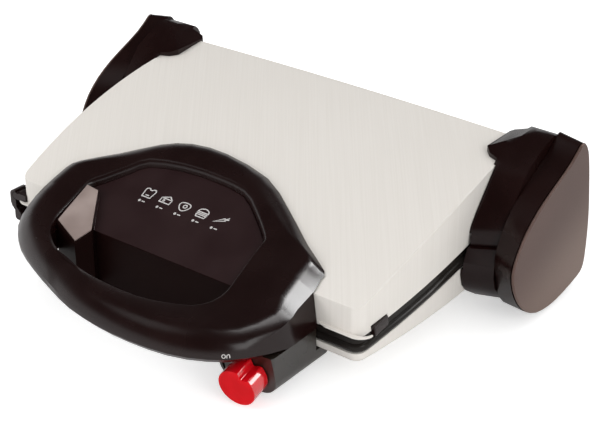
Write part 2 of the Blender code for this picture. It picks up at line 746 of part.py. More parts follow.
def make_latch_mount():
    """Pair of lugs on the lid's left side, with the latch's pin between them."""
    side = -half_width(LATCH_Y) + LID_CORNER / 2
    low = LATCH_Y - LATCH_HALF
    high = LATCH_Y + LATCH_HALF
    centre = (-half_width(LATCH_Y) - LATCH_PIN_OUT, LATCH_PIN_Z)
    lug = LATCH_BARREL_R
    web = centre[0] + LATCH_BARREL_R + RUN
    mount = rod("latch_mount", centre, LATCH_PIN_R, low + FIT, high - FIT, "Y", SHAFT_SIDES)
    add(mount, box("foot", (web, low, LATCH_PIN_Z - lug), (side, high, LATCH_PIN_Z + lug)))
    for start in (low, high - LATCH_LUG):
        add(mount, box("lug", (centre[0], start, LATCH_PIN_Z - lug), (side, start + LATCH_LUG, LATCH_PIN_Z + LUG_TOP)))
        add(mount, rod("end", centre, lug, start, start + LATCH_LUG, "Y", SHAFT_SIDES))
    return cut(mount, prism("lid", plan(-FIT), 0, LID_BACK_Z))


def heater_path():
    """One bent loop with its two ends at the back, from the left end round to the right end."""
    left = [(-HEATER_END_HALF, HEATER_BACK)]
    left += arc((-HEATER_HALF + HEATER_BEND, HEATER_BACK - HEATER_BEND), HEATER_BEND, 90, 180, 5)
    left += arc((-HEATER_HALF + HEATER_BEND, HEATER_FRONT + HEATER_BEND), HEATER_BEND, 180, 270, 5)
    return left + [(-x, y) for x, y in reversed(left)]


def tube(name, route, level, radius, sides):
    """Tube of one radius along a level route, with its ends closed square."""
    points = []
    faces = []
    for k, place in enumerate(route):
        before = Vector(route[max(k - 1, 0)])
        after = Vector(route[min(k + 1, len(route) - 1)])
        along = (after - before).normalized()
        for a, b in circle((0, 0), radius, sides):
            points.append((place[0] + along.y * a, place[1] - along.x * a, level + b))
    for k in range(len(route) - 1):
        for i in range(sides):
            j = (i + 1) % sides
            faces.append([k * sides + i, k * sides + j, (k + 1) * sides + j, (k + 1) * sides + i])
    last = (len(route) - 1) * sides
    faces.append(list(range(sides)))
    faces.append(list(range(last, last + sides)))
    return solid(name, points, faces)


def make_heater(name, turn):
    """Tubular heater that lies just off the back of a plate."""
    level = -(PLATE_FLOOR + FIT + HEATER_R) * turn
    return to_world(tube(name, heater_path(), level, HEATER_R, HEATER_SIDES))


def make_reflector(name, turn):
    """Sheet tray over the heater, with its rim against the plate."""
    rim = -(PLATE_FLOOR + FIT) * turn
    far = rim - REFLECTOR_DEPTH * turn
    low = (-REFLECTOR_HALF, REFLECTOR_FRONT, min(rim, far))
    high = (REFLECTOR_HALF, REFLECTOR_BACK, max(rim, far))
    tray = box(name, low, high)
    wall = REFLECTOR_WALL
    mouth = rim + OVERRUN * turn
    inside = far + wall * turn
    cut(tray, box("inside", (low[0] + wall, low[1] + wall, min(mouth, inside)), (high[0] - wall, high[1] - wall, max(mouth, inside))))
    return to_world(tray)


# Hinge arms, cheeks and pods
def arm_outline():
    """Side outline of an arm: straight foot, round boss, upright back, ridge and front edge."""
    back = PIVOT_Y + BOSS_R
    start = math.degrees(math.asin((arm_foot(PIVOT_Y - BOSS_R) - PIVOT_Z) / BOSS_R))
    outline = [(ARM_FRONT_Y, ARM_FRONT_Z)]
    outline += arc((PIVOT_Y, PIVOT_Z), BOSS_R, 180 - start, 360, 12)
    rise = ARM_TOP_Z - ARM_FRONT_Z
    depth = back - ARM_FRONT_Y
    for along, up in ARM_SHARES:
        outline.append((ARM_FRONT_Y + depth * along, ARM_FRONT_Z + rise * up))
    return outline


def set_back(outline, low_z):
    """The same outline at the pod, where its front lies further back."""
    limit = PIVOT_Y - BOSS_R
    drawn = []
    for y, z in outline:
        share = min(max((limit - y) / (limit - ARM_FRONT_Y), 0), 1)
        place = y + VALLEY * share
        drawn.append((place, arm_foot(place) - (arm_foot(y) - z) if abs(z - low_z) < FIT else z))
    return drawn


def skin(name, rows):
    """Solid through side outlines with as many points, each given with its x."""
    count = len(rows[0][0])
    points = [(x, y, z) for outline, x in rows for y, z in outline]
    last = (len(rows) - 1) * count
    faces = [list(range(count)), list(range(last, last + count))]
    for k in range(len(rows) - 1):
        for i in range(count):
            j = (i + 1) % count
            faces.append([k * count + i, k * count + j, (k + 1) * count + j, (k + 1) * count + i])
    return solid(name, points, faces)


def ridge_section():
    """Section of the space under the arm's domed top, from the hook's tip to the pod."""
    wide = ARM_OUT_X - HOOK_X
    low = lid_top(LID_BACK_Y) + HOOK_LEAF / 2
    section = [(HOOK_X - OVERRUN, 0), (HOOK_X - OVERRUN, low)]
    for along, up in RIDGE_SHARES:
        section.append((HOOK_X + wide * along, low + (ARM_TOP_Z - low) * up))
    section += [(ARM_OUT_X + OVERRUN, ARM_TOP_Z), (ARM_OUT_X + OVERRUN, 0)]
    return section


def arm_foot(y):
    """Height of the arm's straight lower edge."""
    slope = (PIVOT_Z - ARM_FRONT_Z) / (PIVOT_Y - ARM_FRONT_Y)
    return ARM_FRONT_Z + slope * (y - ARM_FRONT_Y)


def arm_fixings():
    """Side places of the screws that hold an arm to the lid."""
    low = (ARM_FRONT_Y + PIVOT_Y) / 2
    rise = (LID_FRONT_Z + LID_BACK_Z) / 2
    return [(low - HOOK_CORNER, rise - 2 * HOOK_CORNER), (low + 3 * HOOK_CORNER, rise)]


def cheek_fixings():
    """Side places of the screws that hold a cheek to the base."""
    middle = (CHEEK_FRONT_Y + PIVOT_Y) / 2
    level = (SHELL_BOTTOM_Z + split_z(middle) - PLATE_BEAD) / 2
    return [(middle - 3 * HOOK_CORNER, level), (middle + 3 * HOOK_CORNER, level)]


def wall_x(y, wall):
    return half_width(y) - wall


def arm_screw_hole(y, z):
    start = wall_x(y, LID_WALL) - OVERRUN
    end = wall_x(y, LID_WALL) + SCREW_BITE + OVERRUN / 4
    return rod("hole", (y, z), SCREW_R + SCREW_FIT, start, end, "X", SCREW_SIDES)


def cheek_screw_hole(y, z):
    start = wall_x(y, SHELL_WALL) - OVERRUN
    end = wall_x(y, SHELL_WALL) + SCREW_BITE + OVERRUN / 4
    return rod("hole", (y, z), SCREW_R + SCREW_FIT, start, end, "X", SCREW_SIDES)


def side_screw(name, y, z, wall):
    """Screw from inside a shell's right wall outwards, with its head just clear of the wall."""
    seat = min(wall_x(y - SCREW_HEAD_R, wall), wall_x(y + SCREW_HEAD_R, wall)) - SCREW_HEAD_GAP
    screw = rod(name, (y, z), SCREW_HEAD_R, seat - SCREW_HEAD, seat, "X", SCREW_SIDES)
    shank = rod("shank", (y, z), SCREW_R, seat - SCREW_HEAD / 2, seat + SCREW_BITE, "X", SCREW_SIDES)
    return add(screw, shank)


def hook_plan():
    """Plan of the arm: the full outer strip and the hook that reaches in over the lid."""
    back = PIVOT_Y + BOSS_R + OVERRUN
    hook_back = LID_BACK_Y + HOOK_BACK
    return [
        (ARM_IN_X, ARM_FRONT_Y - OVERRUN), (ARM_OUT_X, ARM_FRONT_Y - OVERRUN), (ARM_OUT_X, back),
        (ARM_IN_X, back), (ARM_IN_X - HOOK_CORNER, hook_back), (HOOK_X + HOOK_CORNER / 2, hook_back),
        (HOOK_X, hook_back - HOOK_CORNER / 2), (HOOK_X, HOOK_FRONT_Y + HOOK_CORNER),
        (HOOK_X + HOOK_CORNER, HOOK_FRONT_Y), (ARM_IN_X - HOOK_CORNER, HOOK_FRONT_Y - HOOK_CORNER / 2),
        (ARM_IN_X - HOOK_CORNER, ARM_FRONT_Y - OVERRUN),
    ]


def make_arm():
    """Lid arm on the right side, with its hook over the lid's back corner and its pin boss."""
    outline = arm_outline()
    arm = skin("arm", [(outline, HOOK_X), (outline, ARM_IN_X), (set_back(outline, ARM_FRONT_Z), ARM_OUT_X)])
    keep(arm, prism("plan", hook_plan(), 0, LID_BACK_Z * 2))
    keep(arm, prism("ridge", ridge_section(), 0, FAR, "Y"))
    cut(arm, lid_block(-RUN, LID_FRONT_Z))
    low = LID_FRONT_Y - OVERRUN
    back = PIVOT_Y + BOSS_R + OVERRUN
    cut(arm, box("low_inner", (0, low, 0), (ARM_IN_X, back, PIVOT_Z)))
    cut(arm, box("back_inner", (0, LID_BACK_Y - LID_CORNER, 0), (ARM_IN_X, back, HOOK_DROP_Z)))
    bore = rod("bore", (PIVOT_Y, PIVOT_Z), PIN_R + PIN_FIT, ARM_OUT_X - PIN_DEPTH, ARM_OUT_X + OVERRUN, "X", PIN_SIDES)
    cut(arm, bore)
    for y, z in arm_fixings():
        cut(arm, arm_screw_hole(y, z))
    return arm


def cheek_outline():
    """Side outline of a cheek: round below like the pod, with a seat that clears the turning arm."""
    seat = BOSS_R + RUN
    back = PIVOT_Y + BOSS_R
    start = math.degrees(math.asin((arm_foot(PIVOT_Y - BOSS_R) - FIT - PIVOT_Z) / seat))
    end = -math.degrees(OPEN_ANGLE)
    depth = back - CHEEK_FRONT_Y
    rise = ARM_FRONT_Z - POD_BOTTOM_Z
    outline = [(CHEEK_FRONT_Y + depth * a, POD_BOTTOM_Z + rise * b) for a, b in CHEEK_SHARES]
    touch = arc((PIVOT_Y, PIVOT_Z), seat, end, end, 1)[0]
    fall = math.tan(OPEN_ANGLE - math.pi / 2)
    outline.append((back, touch[1] - (back - touch[0]) * fall))
    outline += arc((PIVOT_Y, PIVOT_Z), seat, end, -180 - start, 8)
    foot_y = CHEEK_FRONT_Y + HOOK_CORNER
    outline.append((foot_y, arm_foot(foot_y) - FIT))
    return outline


def make_cheek():
    """Fixed inner side of the right pod, beside the base shell."""
    outline = cheek_outline()
    cheek = skin("cheek", [(outline, CHEEK_IN_X), (outline, ARM_IN_X), (set_back(outline, outline[-1][1]), ARM_OUT_X)])
    cut(cheek, prism("shell", plan(-RUN), 0, LID_BACK_Z))
    bead = prism("bead", along_plate(plan(-PLATE_PROUD - RUN)), -PLATE_BEAD - 2 * RUN, OVERRUN)
    cut(cheek, to_world(bead))
    back = LID_BACK_Y - LID_CORNER
    cut(cheek, box("back_inner", (0, back, 0), (ARM_IN_X, back + FAR, LID_BACK_Z)))
    for y, z in cheek_fixings():
        cut(cheek, cheek_screw_hole(y, z))
    return cheek


def pod_depth():
    return POD_BACK_Y - POD_FRONT_Y


def pod_outline(draft, inset):
    """Side outline of a pod, with its front set back by a draft and all of it drawn in by an inset."""
    depth = pod_depth()
    back = POD_BACK_Y
    shape = []
    for a, b in POD_SHARES:
        y = back - (1 - a) * (depth - draft * min(1, b / POD_LOW_SHARE))
        z = POD_BOTTOM_Z + b * POD_HEIGHT + POD_RISE * b * draft / VALLEY
        shape.append(Vector((y, z)))
    shape = smooth_loop(shape, 2)
    drawn = []
    for i, point in enumerate(shape):
        along = (shape[(i + 1) % len(shape)] - shape[i - 1]).normalized()
        drawn.append((point.x + along.y * inset, point.y - along.x * inset))
    return drawn


def smooth_loop(points, steps):
    """A closed curve through points, with a number of steps from each to the next."""
    made = []
    count = len(points)
    for i in range(count):
        a, b, c, d = (points[(i + k) % count] for k in (-1, 0, 1, 2))
        for k in range(steps):
            t = k / steps
            made.append(0.5 * ((2 * b) + (c - a) * t + (2 * a - 5 * b + 4 * c - d) * t * t + (3 * b - a - 3 * c + d) * t ** 3))
    return made


def loft(name, near, near_x, far, far_x):
    """Solid between two side outlines with as many points."""
    count = len(near)
    points = [(near_x, y, z) for y, z in near] + [(far_x, y, z) for y, z in far]
    faces = [list(range(count)), list(range(2 * count - 1, count - 1, -1))]
    for i in range(count):
        j = (i + 1) % count
        faces.append([i, j, count + j, count + i])
    return solid(name, points, faces)


def make_pod():
    """Right pod housing: flaring ring with an inner web, a slot for the pin and the block's guides."""
    pod = loft("pod", pod_outline(VALLEY, 0), POD_IN_X, pod_outline(0, 0), POD_OUT_X)
    web = POD_IN_X + POD_WEB
    rise = VALLEY * (1 - POD_WEB / (POD_OUT_X - POD_IN_X))
    cut(pod, loft("hollow", pod_outline(rise, POD_WALL), web, pod_outline(0, POD_WALL), POD_OUT_X + FIT))
    low = PIVOT_Z - BLOCK_HALF_Z - FIT
    high = PIVOT_Z + BLOCK_HALF_Z + FLOAT_TRAVEL + GUIDE_T
    reach = web + GUIDE_REACH
    front = PIVOT_Y - BLOCK_HALF_Y - FIT
    back = PIVOT_Y + BLOCK_HALF_Y + FIT
    start = web - POD_WEB / 2
    rail = prism(
        "rail",
        [(front - GUIDE_T, low - GUIDE_T), (back + GUIDE_T, low - GUIDE_T), (back + GUIDE_T, high), (back, high),
         (back, low), (front, low), (front, high), (front - GUIDE_T, high)],
        start, reach, "X",
    )
    add(pod, rail)
    slot = arc((PIVOT_Y, PIVOT_Z), PIN_R + RUN, 180, 360, 8)
    slot += arc((PIVOT_Y, PIVOT_Z + FLOAT_TRAVEL), PIN_R + RUN, 0, 180, 8)
    cut(pod, prism("slot", slot, POD_IN_X - OVERRUN, web + FIT, "X"))
    foot = (pod_foot_x(), REAR_FOOT_Y)
    cut(pod, rod("pocket", foot, FOOT_R + FIT, -OVERRUN, foot_top() + FIT, "Z", FOOT_SIDES))
    return pod


def pod_foot_x():
    return POD_IN_X + FOOT_R + 3 * FIT


def foot_top():
    return POD_BOTTOM_Z + 2 * FOOT_PROUD


def make_cap():
    """Metal-look cover of the right pod, with a lip that plugs into the housing."""
    near = POD_OUT_X + FIT
    cap = loft("cap", pod_outline(0, 0), near, pod_outline(0, 0), near + CAP_T)
    soften(cap, CAP_EDGE, 1, 60)
    gap = POD_WALL + 2 * FIT
    lean = VALLEY * CAP_LIP / (POD_OUT_X - POD_IN_X)
    lip = loft("lip", pod_outline(lean, gap), near - CAP_LIP, pod_outline(0, gap), near + CAP_T / 2)
    wall = gap + CAP_LIP_WALL
    cut(lip, loft("hole", pod_outline(lean, wall), near - CAP_LIP - FIT, pod_outline(0, wall), near))
    return add(cap, lip)


def make_hinge_block():
    """Block that carries the right pin and slides up in the pod."""
    start = POD_IN_X + POD_WEB + FIT
    low = (start, PIVOT_Y - BLOCK_HALF_Y, PIVOT_Z - BLOCK_HALF_Z)
    high = (start + BLOCK_T, PIVOT_Y + BLOCK_HALF_Y, PIVOT_Z + BLOCK_HALF_Z)
    block = box("block", low, high)
    return cut(block, rod("bore", (PIVOT_Y, PIVOT_Z), PIN_R + PIN_FIT, 0, high[0] + OVERRUN, "X", PIN_SIDES))


def make_hinge_pin():
    """Right hinge pin, with its head outside the block."""
    seat = POD_IN_X + POD_WEB + FIT + BLOCK_T + FIT
    pin = rod("pin", (PIVOT_Y, PIVOT_Z), PIN_R, ARM_OUT_X - PIN_DEPTH + FIT, seat + PIN_HEAD / 2, "X", PIN_SIDES)
    return add(pin, rod("head", (PIVOT_Y, PIVOT_Z), PIN_HEAD_R, seat, seat + PIN_HEAD, "X", PIN_SIDES))


def make_rear_foot():
    return rod("foot", (pod_foot_x(), REAR_FOOT_Y), FOOT_R, 0, foot_top(), "Z", FOOT_SIDES)


def turned(name, centre, profile, sides):
    """Round piece about a vertical line, from (radius, height) pairs, bottom to top."""
    points = []
    faces = []
    for radius, z in profile:
        points += [(x, y, z) for x, y in circle(centre, radius, sides)]
    for k in range(len(profile) - 1):
        for i in range(sides):
            j = (i + 1) % sides
            faces.append([k * sides + i, k * sides + j, (k + 1) * sides + j, (k + 1) * sides + i])
    faces.append(list(range(sides)))
    last = (len(profile) - 1) * sides
    faces.append(list(range(last, last + sides)))
    return solid(name, points, faces)


def make_front_leg():
    """Short tapered leg under the base shell's front left."""
    profile = [
        (LEG_FOOT_R, FOOT_PROUD), (LEG_FOOT_R + FOOT_PROUD / 4, FOOT_PROUD * 2),
        (LEG_TOP_R, SHELL_BOTTOM_Z - FOOT_PROUD), (LEG_TOP_R, SHELL_BOTTOM_Z - FIT),
    ]
    return turned("front_leg", (LEG_X, LEG_Y), profile, FOOT_SIDES)


def make_leg_foot():
    return turned("foot_front_left", (LEG_X, LEG_Y), [(LEG_FOOT_R - FIT, 0), (LEG_FOOT_R, FRONT_FOOT_T)], FOOT_SIDES)


def make_box_foot():
    top = BOX_BOTTOM_Z - FIT
    profile = [(FOOT_R - FIT, 0), (FOOT_R, top)]
    return turned("foot_front_right", (BOX_FOOT_X, BOX_FOOT_Y), profile, FOOT_SIDES)


def gland_z():
    back = LID_BACK_Y
    return (SHELL_BOTTOM_Z + split_z(back) - PLATE_BEAD) / 2


def back_y(x):
    """Place of the bowed back wall's outside."""
    reach = half_width(LID_BACK_Y) - LID_CORNER
    return LID_BACK_Y + LID_BACK_BOW * (1 - (x / reach) ** 2)


def make_gland():
    """Bush in the base's back wall, where a mains lead would enter."""
    back = back_y(GLAND_X + GLAND_R)
    centre = (GLAND_X, gland_z())
    gland = rod("cord_gland", centre, GLAND_R, back + FIT, back + FIT + GLAND_FLANGE, "Y", FOOT_SIDES)
    add(gland, rod("neck", centre, GLAND_NECK_R, back - SHELL_WALL - GLAND_FLANGE, back + GLAND_OUT, "Y", FOOT_SIDES))
    return cut(gland, rod("bore", centre, GLAND_BORE_R, back - OVERRUN, back + OVERRUN, "Y", FOOT_SIDES))


# Handle
def ring_point(share):
    depth = RING_BACK_Y - RING_FRONT_Y
    return Vector((RING_LEFT_X + share[0] * RING_WIDTH, RING_FRONT_Y + share[1] * depth))


def ring_top(y):
    """Height of the ring's top face: a step above the lid, easing to level at the grip."""
    if y >= LID_FRONT_Y:
        return lid_top(y) + RING_HEIGHT
    slope = (LID_BACK_Z - LID_FRONT_Z + 4 * LID_ARCH) / LID_DEPTH
    run = min(LID_FRONT_Y - y, RING_FLAT_RUN)
    return LID_FRONT_Z + RING_HEIGHT - slope * run + slope * run * run / (2 * RING_FLAT_RUN)


def on_lid(index):
    return index <= LEFT_STEP or index >= RIGHT_STEP


def ring_stations():
    """Places round the ring, each with its inner point, outer point, flank shares and seat."""
    inner = smooth_loop([ring_point(share) for share in RING_INNER_SHARES], RING_SUB)
    outer = smooth_loop([ring_point(share) for share in RING_OUTER_SHARES], RING_SUB)
    count = len(RING_FLANK_SHARES)
    made = []
    for i in range(len(inner)):
        k = i // RING_SUB
        t = (i % RING_SUB) / RING_SUB
        after = RING_FLANK_SHARES[(k + 1) % count]
        shape = [a + (b - a) * t for a, b in zip(RING_FLANK_SHARES[k], after)]
        if i % RING_SUB == 0 and k in (LEFT_STEP, RIGHT_STEP):
            seats = (True, False) if k == LEFT_STEP else (False, True)
            for seat in seats:
                y = LID_FRONT_Y - RUN - (0 if seat else RING_STEP)
                made.append((Vector((inner[i].x, y)), Vector((outer[i].x, y)), shape, seat))
        else:
            made.append((inner[i], outer[i], shape, k < LEFT_STEP or k >= RIGHT_STEP))
    return made


def ring_section(inner, outer, shape, seat):
    """Closed section across the ring: outer skin from the inside to the outside, then back under it."""
    across = outer - inner
    width = across.length
    across = across / width

    def place(reach, height):
        point = inner + across * reach
        return point, height(point.y)

    def floor(y):
        return lid_top(y) + FIT + FIT / 2 if seat else RING_BOTTOM_Z

    flank = RING_FLANK * shape[0]
    wall_top = RING_NOSE_Z + (RING_BLOCK_Z - RING_NOSE_Z) * shape[1]
    square = 0 if seat else shape[2]
    lean = RING_LEAN * square

    def shoulder(y):
        return floor(y) + RING_LIP if seat else min(wall_top, ring_top(y) - RING_EDGE_IN)

    def flank_row(shares):
        fall = shares[1] + (1 - shares[0] - shares[1]) * shape[2]
        return place(width - flank * shares[0], lambda y: ring_top(y) - (ring_top(y) - shoulder(y)) * fall)

    edge = RING_EDGE_IN
    rounded = edge * EDGE_ROUND_SHARE
    under = RING_STEP if seat else RING_EDGE_OUT + (RING_STEP - RING_EDGE_OUT) * square
    rows = [
        place(0, floor),
        place(0, lambda y: ring_top(y) - edge),
        place(rounded, lambda y: ring_top(y) - rounded),
        place(edge, ring_top),
        place(width - flank, ring_top),
        flank_row(FLANK_ROW_SHARES[0]),
        flank_row(FLANK_ROW_SHARES[1]),
        place(width, shoulder),
        place(width + lean, lambda y: floor(y) + under),
        place(width + lean - under, floor),
        place(width + lean - RING_WALL - under, floor),
        place(width + lean / 2 - RING_WALL, lambda y: (floor(y) + shoulder(y)) / 2),
        place(width - flank - RING_WALL / 4, lambda y: ring_top(y) - RING_WALL),
        place(RING_WALL, lambda y: ring_top(y) - RING_WALL),
        place(RING_WALL, floor),
    ]
    return [(point.x, point.y, z) for point, z in rows]


def make_handle_ring():
    """Handle moulding: bezel on the lid, block at the right and grip bar round the finger gap."""
    sections = [ring_section(*station) for station in ring_stations()]
    rows = len(sections[0])
    points = [point for section in sections for point in section]
    faces = []
    for i in range(len(sections)):
        j = (i + 1) % len(sections)
        for k in range(rows):
            m = (k + 1) % rows
            faces.append([i * rows + k, i * rows + m, j * rows + m, j * rows + k])
    ring = solid("handle_ring", points, faces)
    for x, y in grip_fixings():
        low = RING_BOTTOM_Z + 2 * FIT + COVER_T
        add(ring, rod("post", (x, y), SCREW_HEAD_R, low, ring_top(y - SCREW_HEAD_R) - RING_WALL / 2, "Z", SCREW_SIDES))
        cut(ring, rod("hole", (x, y), SCREW_R + SCREW_FIT, 0, low + SCREW_BITE, "Z", SCREW_SIDES))
    for x, y in handle_fixings():
        low = lid_top(y + SCREW_HEAD_R) + FIT
        add(ring, rod("post", (x, y), SCREW_HEAD_R, low, ring_top(y - SCREW_HEAD_R) - RING_WALL / 2, "Z", SCREW_SIDES))
        cut(ring, rod("hole", (x, y), SCREW_R + SCREW_FIT, low - OVERRUN, low + SCREW_BITE / 2, "Z", SCREW_SIDES))
    return ring


def grip_fixings():
    """Places of the screws under the grip, in the middle of the bar."""
    places = []
    for k in GRIP_SCREW_STATIONS:
        middle = ring_point(RING_OUTER_SHARES[k]).lerp(ring_point(RING_INNER_SHARES[k]), 0.64)
        places.append((middle.x, middle.y))
    return places


def handle_fixings():
    """Places of the screws that hold the bezel to the lid from inside it."""
    places = []
    for k in (LEFT_STEP - 2, 0, RIGHT_STEP + 3):
        middle = ring_point(RING_OUTER_SHARES[k]).lerp(ring_point(RING_INNER_SHARES[k]), 0.72)
        places.append((middle.x, middle.y))
    return places


def upright_screw(name, x, y, seat):
    """Screw that points up, with its head under a seat height."""
    screw = rod(name, (x, y), SCREW_HEAD_R, seat - SCREW_HEAD, seat, "Z", SCREW_SIDES)
    return add(screw, rod("shank", (x, y), SCREW_R, seat - SCREW_HEAD / 2, seat + SCREW_BITE * 0.6, "Z", SCREW_SIDES))


def make_grip_cover():
    """Flat cover in the mouth of the grip bar and the block."""
    inner = []
    outer = []
    for station in ring_stations():
        if station[3]:
            continue
        across = (station[1] - station[0]).normalized()
        inner.append(station[0] + across * (RING_WALL + FIT))
        outer.append(station[1] - across * (RING_WALL + RING_EDGE_OUT + 2 * FIT))
    inner = step_in(inner)
    outer = step_in(outer)
    loop = [(point.x, point.y) for point in inner] + [(point.x, point.y) for point in reversed(outer)]
    low = RING_BOTTOM_Z + FIT
    cover = prism("grip_cover", loop, low, low + COVER_T)
    for x, y in grip_fixings():
        cut(cover, rod("hole", (x, y), SCREW_R + SCREW_FIT, 0, 2 * RING_BOTTOM_Z, "Z", SCREW_SIDES))
    return cover


def step_in(row):
    """A row of places, with its two ends drawn back from the ring's steps."""
    ends = (row[0] + Vector((0, -RING_WALL)), row[-1] + Vector((0, -RING_WALL)))
    return [ends[0]] + row[1:-1] + [ends[1]]


def panel_z(y):
    slope = (PANEL_BACK_Z - PANEL_NOSE_Z) / (PANEL_BACK_Y - PANEL_NOSE_Y)
    return PANEL_NOSE_Z + slope * (y - PANEL_NOSE_Y)


def panel_layer(low, high):
    """Sloping layer between two heights over the panel's face."""
    front = RING_FRONT_Y - OVERRUN
    back = RING_BACK_Y + OVERRUN
    profile = [(front, panel_z(front) + low), (back, panel_z(back) + low)]
    profile += [(back, panel_z(back) + high), (front, panel_z(front) + high)]
    return prism("layer", profile, -RING_WIDTH, RING_WIDTH, "X")


def drawn_in(corners, inset):
    """Outline whose corners are drawn toward its middle."""
    middle = sum(corners, Vector((0, 0))) / len(corners)
    return [tuple(corner + (middle - corner).normalized() * inset) for corner in corners]


def fold_at(y):
    """Place on the raised block's right edge at a depth."""
    back, front = ring_point(FACET_SHARES[1]), ring_point(FACET_SHARES[2])
    return back + (front - back) * ((y - back.y) / (front.y - back.y))


def facet_zone():
    """Plan that takes in the raised block and reaches past its outer edges."""
    back_left, back_right, right, tip, left = [ring_point(share) for share in FACET_SHARES]
    fold = fold_at(PANEL_NOSE_Y)
    past = Vector((right.x + OVERRUN, fold.y - OVERRUN / 2))
    aside = Vector((-OVERRUN, 0))
    places = (back_right, fold, past, tip + Vector((0, -OVERRUN)), left + aside, back_left + aside)
    return [tuple(place) for place in places]


def panel_plan():
    """Plan of the panel inside the ring's inner edge: nose over the finger gap, raised block at the left."""
    loop = smooth_loop([ring_point(share) for share in RING_INNER_SHARES], RING_SUB)
    count = len(loop)
    right_edge, tip, left_edge = [ring_point(share) for share in FACET_SHARES[2:]]
    kept = []
    for i, point in enumerate(loop):
        limit = left_edge.y if point.x < tip.x else PANEL_NOSE_Y
        if point.y < limit:
            continue
        along = (loop[(i + 1) % count] - loop[i - 1]).normalized()
        kept.append(((point.x - along.y * RUN, point.y + along.x * RUN), i))
    split = next(n for n in range(1, len(kept)) if kept[n][1] - kept[n - 1][1] > 1)
    left = [place for place, _ in kept[:split]]
    right = [place for place, _ in kept[split:]]
    nose = [(left[-1][0] + RUN, left_edge.y), tuple(tip), tuple(right_edge), tuple(fold_at(PANEL_NOSE_Y))]
    return left + nose + [(right[0][0], PANEL_NOSE_Y)] + right


def make_thumb_pad():
    """Thin grey pad on the panel's raised block."""
    corners = [ring_point(share) for share in FACET_SHARES]
    pad = prism("thumb_pad", drawn_in(corners, PAD_EDGE), PANEL_BOTTOM_Z, LID_BACK_Z)
    return keep(pad, panel_layer(FACET_RISE + FIT, FACET_RISE + FIT + PAD_T))


def make_panel():
    """Recessed control panel: sloping top skin, raised left block and a nose that closes the gap's back."""
    panel = prism("handle_panel", panel_plan(), PANEL_BOTTOM_Z, LID_BACK_Z)
    wide = RING_WIDTH
    back = RING_BACK_Y + OVERRUN
    over = panel_layer(0, LID_BACK_Z)
    cut(over, prism("block", facet_zone(), -FAR, FAR))
    cut(panel, over)
    cut(panel, panel_layer(FACET_RISE, LID_BACK_Z))
    clear = [(LID_FRONT_Y - RUN, -OVERRUN), (back, -OVERRUN), (back, lid_top(back) + PANEL_LID_GAP)]
    for i in range(6, -1, -1):
        y = LID_FRONT_Y + (RING_BACK_Y - LID_FRONT_Y) * i / 6
        clear.append((y, lid_top(y) + PANEL_LID_GAP))
    clear.append((LID_FRONT_Y - RUN, LID_FRONT_Z + PANEL_LID_GAP))
    cut(panel, prism("lid", clear, -wide, wide, "X"))
    low = PANEL_NOSE_Y + PANEL_WALL
    cut(panel, box("step", (-wide, low, 0), (wide, RING_BACK_Y, RING_BOTTOM_Z)))
    hollow = [(low, 0), (LID_FRONT_Y, 0)]
    hollow += [(LID_FRONT_Y, panel_z(LID_FRONT_Y) - PANEL_WALL), (low, panel_z(low) - PANEL_WALL)]
    right = ring_point(RING_INNER_SHARES[RIGHT_STEP]).x - 2 * PANEL_WALL
    cut(panel, prism("hollow", hollow, fold_at(PANEL_NOSE_Y).x + PANEL_WALL, right, "X"))
    corners = [ring_point(share) for share in FACET_SHARES[2:]]
    corners += [Vector((corners[-1].x - PANEL_WALL, LID_FRONT_Y)), fold_at(LID_FRONT_Y)]
    pocket = prism("pocket", drawn_in(corners, 2 * PANEL_WALL), 0, LID_BACK_Z)
    cut(panel, cut(pocket, panel_layer(-PANEL_WALL, LID_BACK_Z)))
    return soften(panel, RING_STEP, 1, 60)


# Control box, thermostat and knob
def knob_space():
    """Frame on the knob's base: Z points out of the box along the shaft, X to the right."""
    out = Vector((
        math.sin(KNOB_YAW) * math.cos(KNOB_DIP), -math.cos(KNOB_YAW) * math.cos(KNOB_DIP), -math.sin(KNOB_DIP),
    ))
    right = Vector((math.cos(KNOB_YAW), math.sin(KNOB_YAW), 0))
    matrix = Matrix((right, out.cross(right), out)).transposed().to_4x4()
    matrix.translation = (KNOB_X, KNOB_Y, KNOB_Z)
    return matrix


def box_section(inset, top, bottom):
    """Front outline of the box: square shoulders and a round keel."""
    radius = BOX_KEEL - inset
    left = BOX_LEFT_X + inset
    right = BOX_RIGHT_X - inset
    outline = [(right, top), (left, top)]
    outline += arc((left + radius, bottom + radius), radius, 180, 270, 5)
    outline += arc((right - radius, bottom + radius), radius, 270, 360, 5)
    return outline


def box_plan(inset, front):
    radius = BOX_CORNER - inset
    left = BOX_LEFT_X - OVERRUN
    right = BOX_RIGHT_X - inset
    outline = [(left, BOX_BACK_Y), (left, front)]
    outline += arc((right - radius, front + radius), radius, 270, 360, 6)
    outline.append((right, BOX_BACK_Y))
    return outline


def box_side(inset, top, back):
    """Side outline of the box, with the tail that runs back under the shell."""
    lean = math.tan(KNOB_DIP)
    front_top = KNOB_Y - (top - KNOB_Z) * lean + inset
    front_low = KNOB_Y + KNOB_Z * lean + inset
    step_y = LID_FRONT_Y - RUN - PLATE_PROUD - inset
    under = SHELL_BOTTOM_Z - FIT - inset
    outline = [(front_low, 0), (front_top, top), (step_y, top)]
    outline += [(step_y, under), (back, under), (back, BOX_TAIL_Z + inset), (step_y, 0)]
    return outline


def front_face_cutter(inset):
    """Space in front of the box's front face, which the shaft stands square to."""
    cutter = box("front", (-FAR, -FAR, -inset), (FAR, FAR, FAR))
    cutter.data.transform(knob_space())
    return cutter


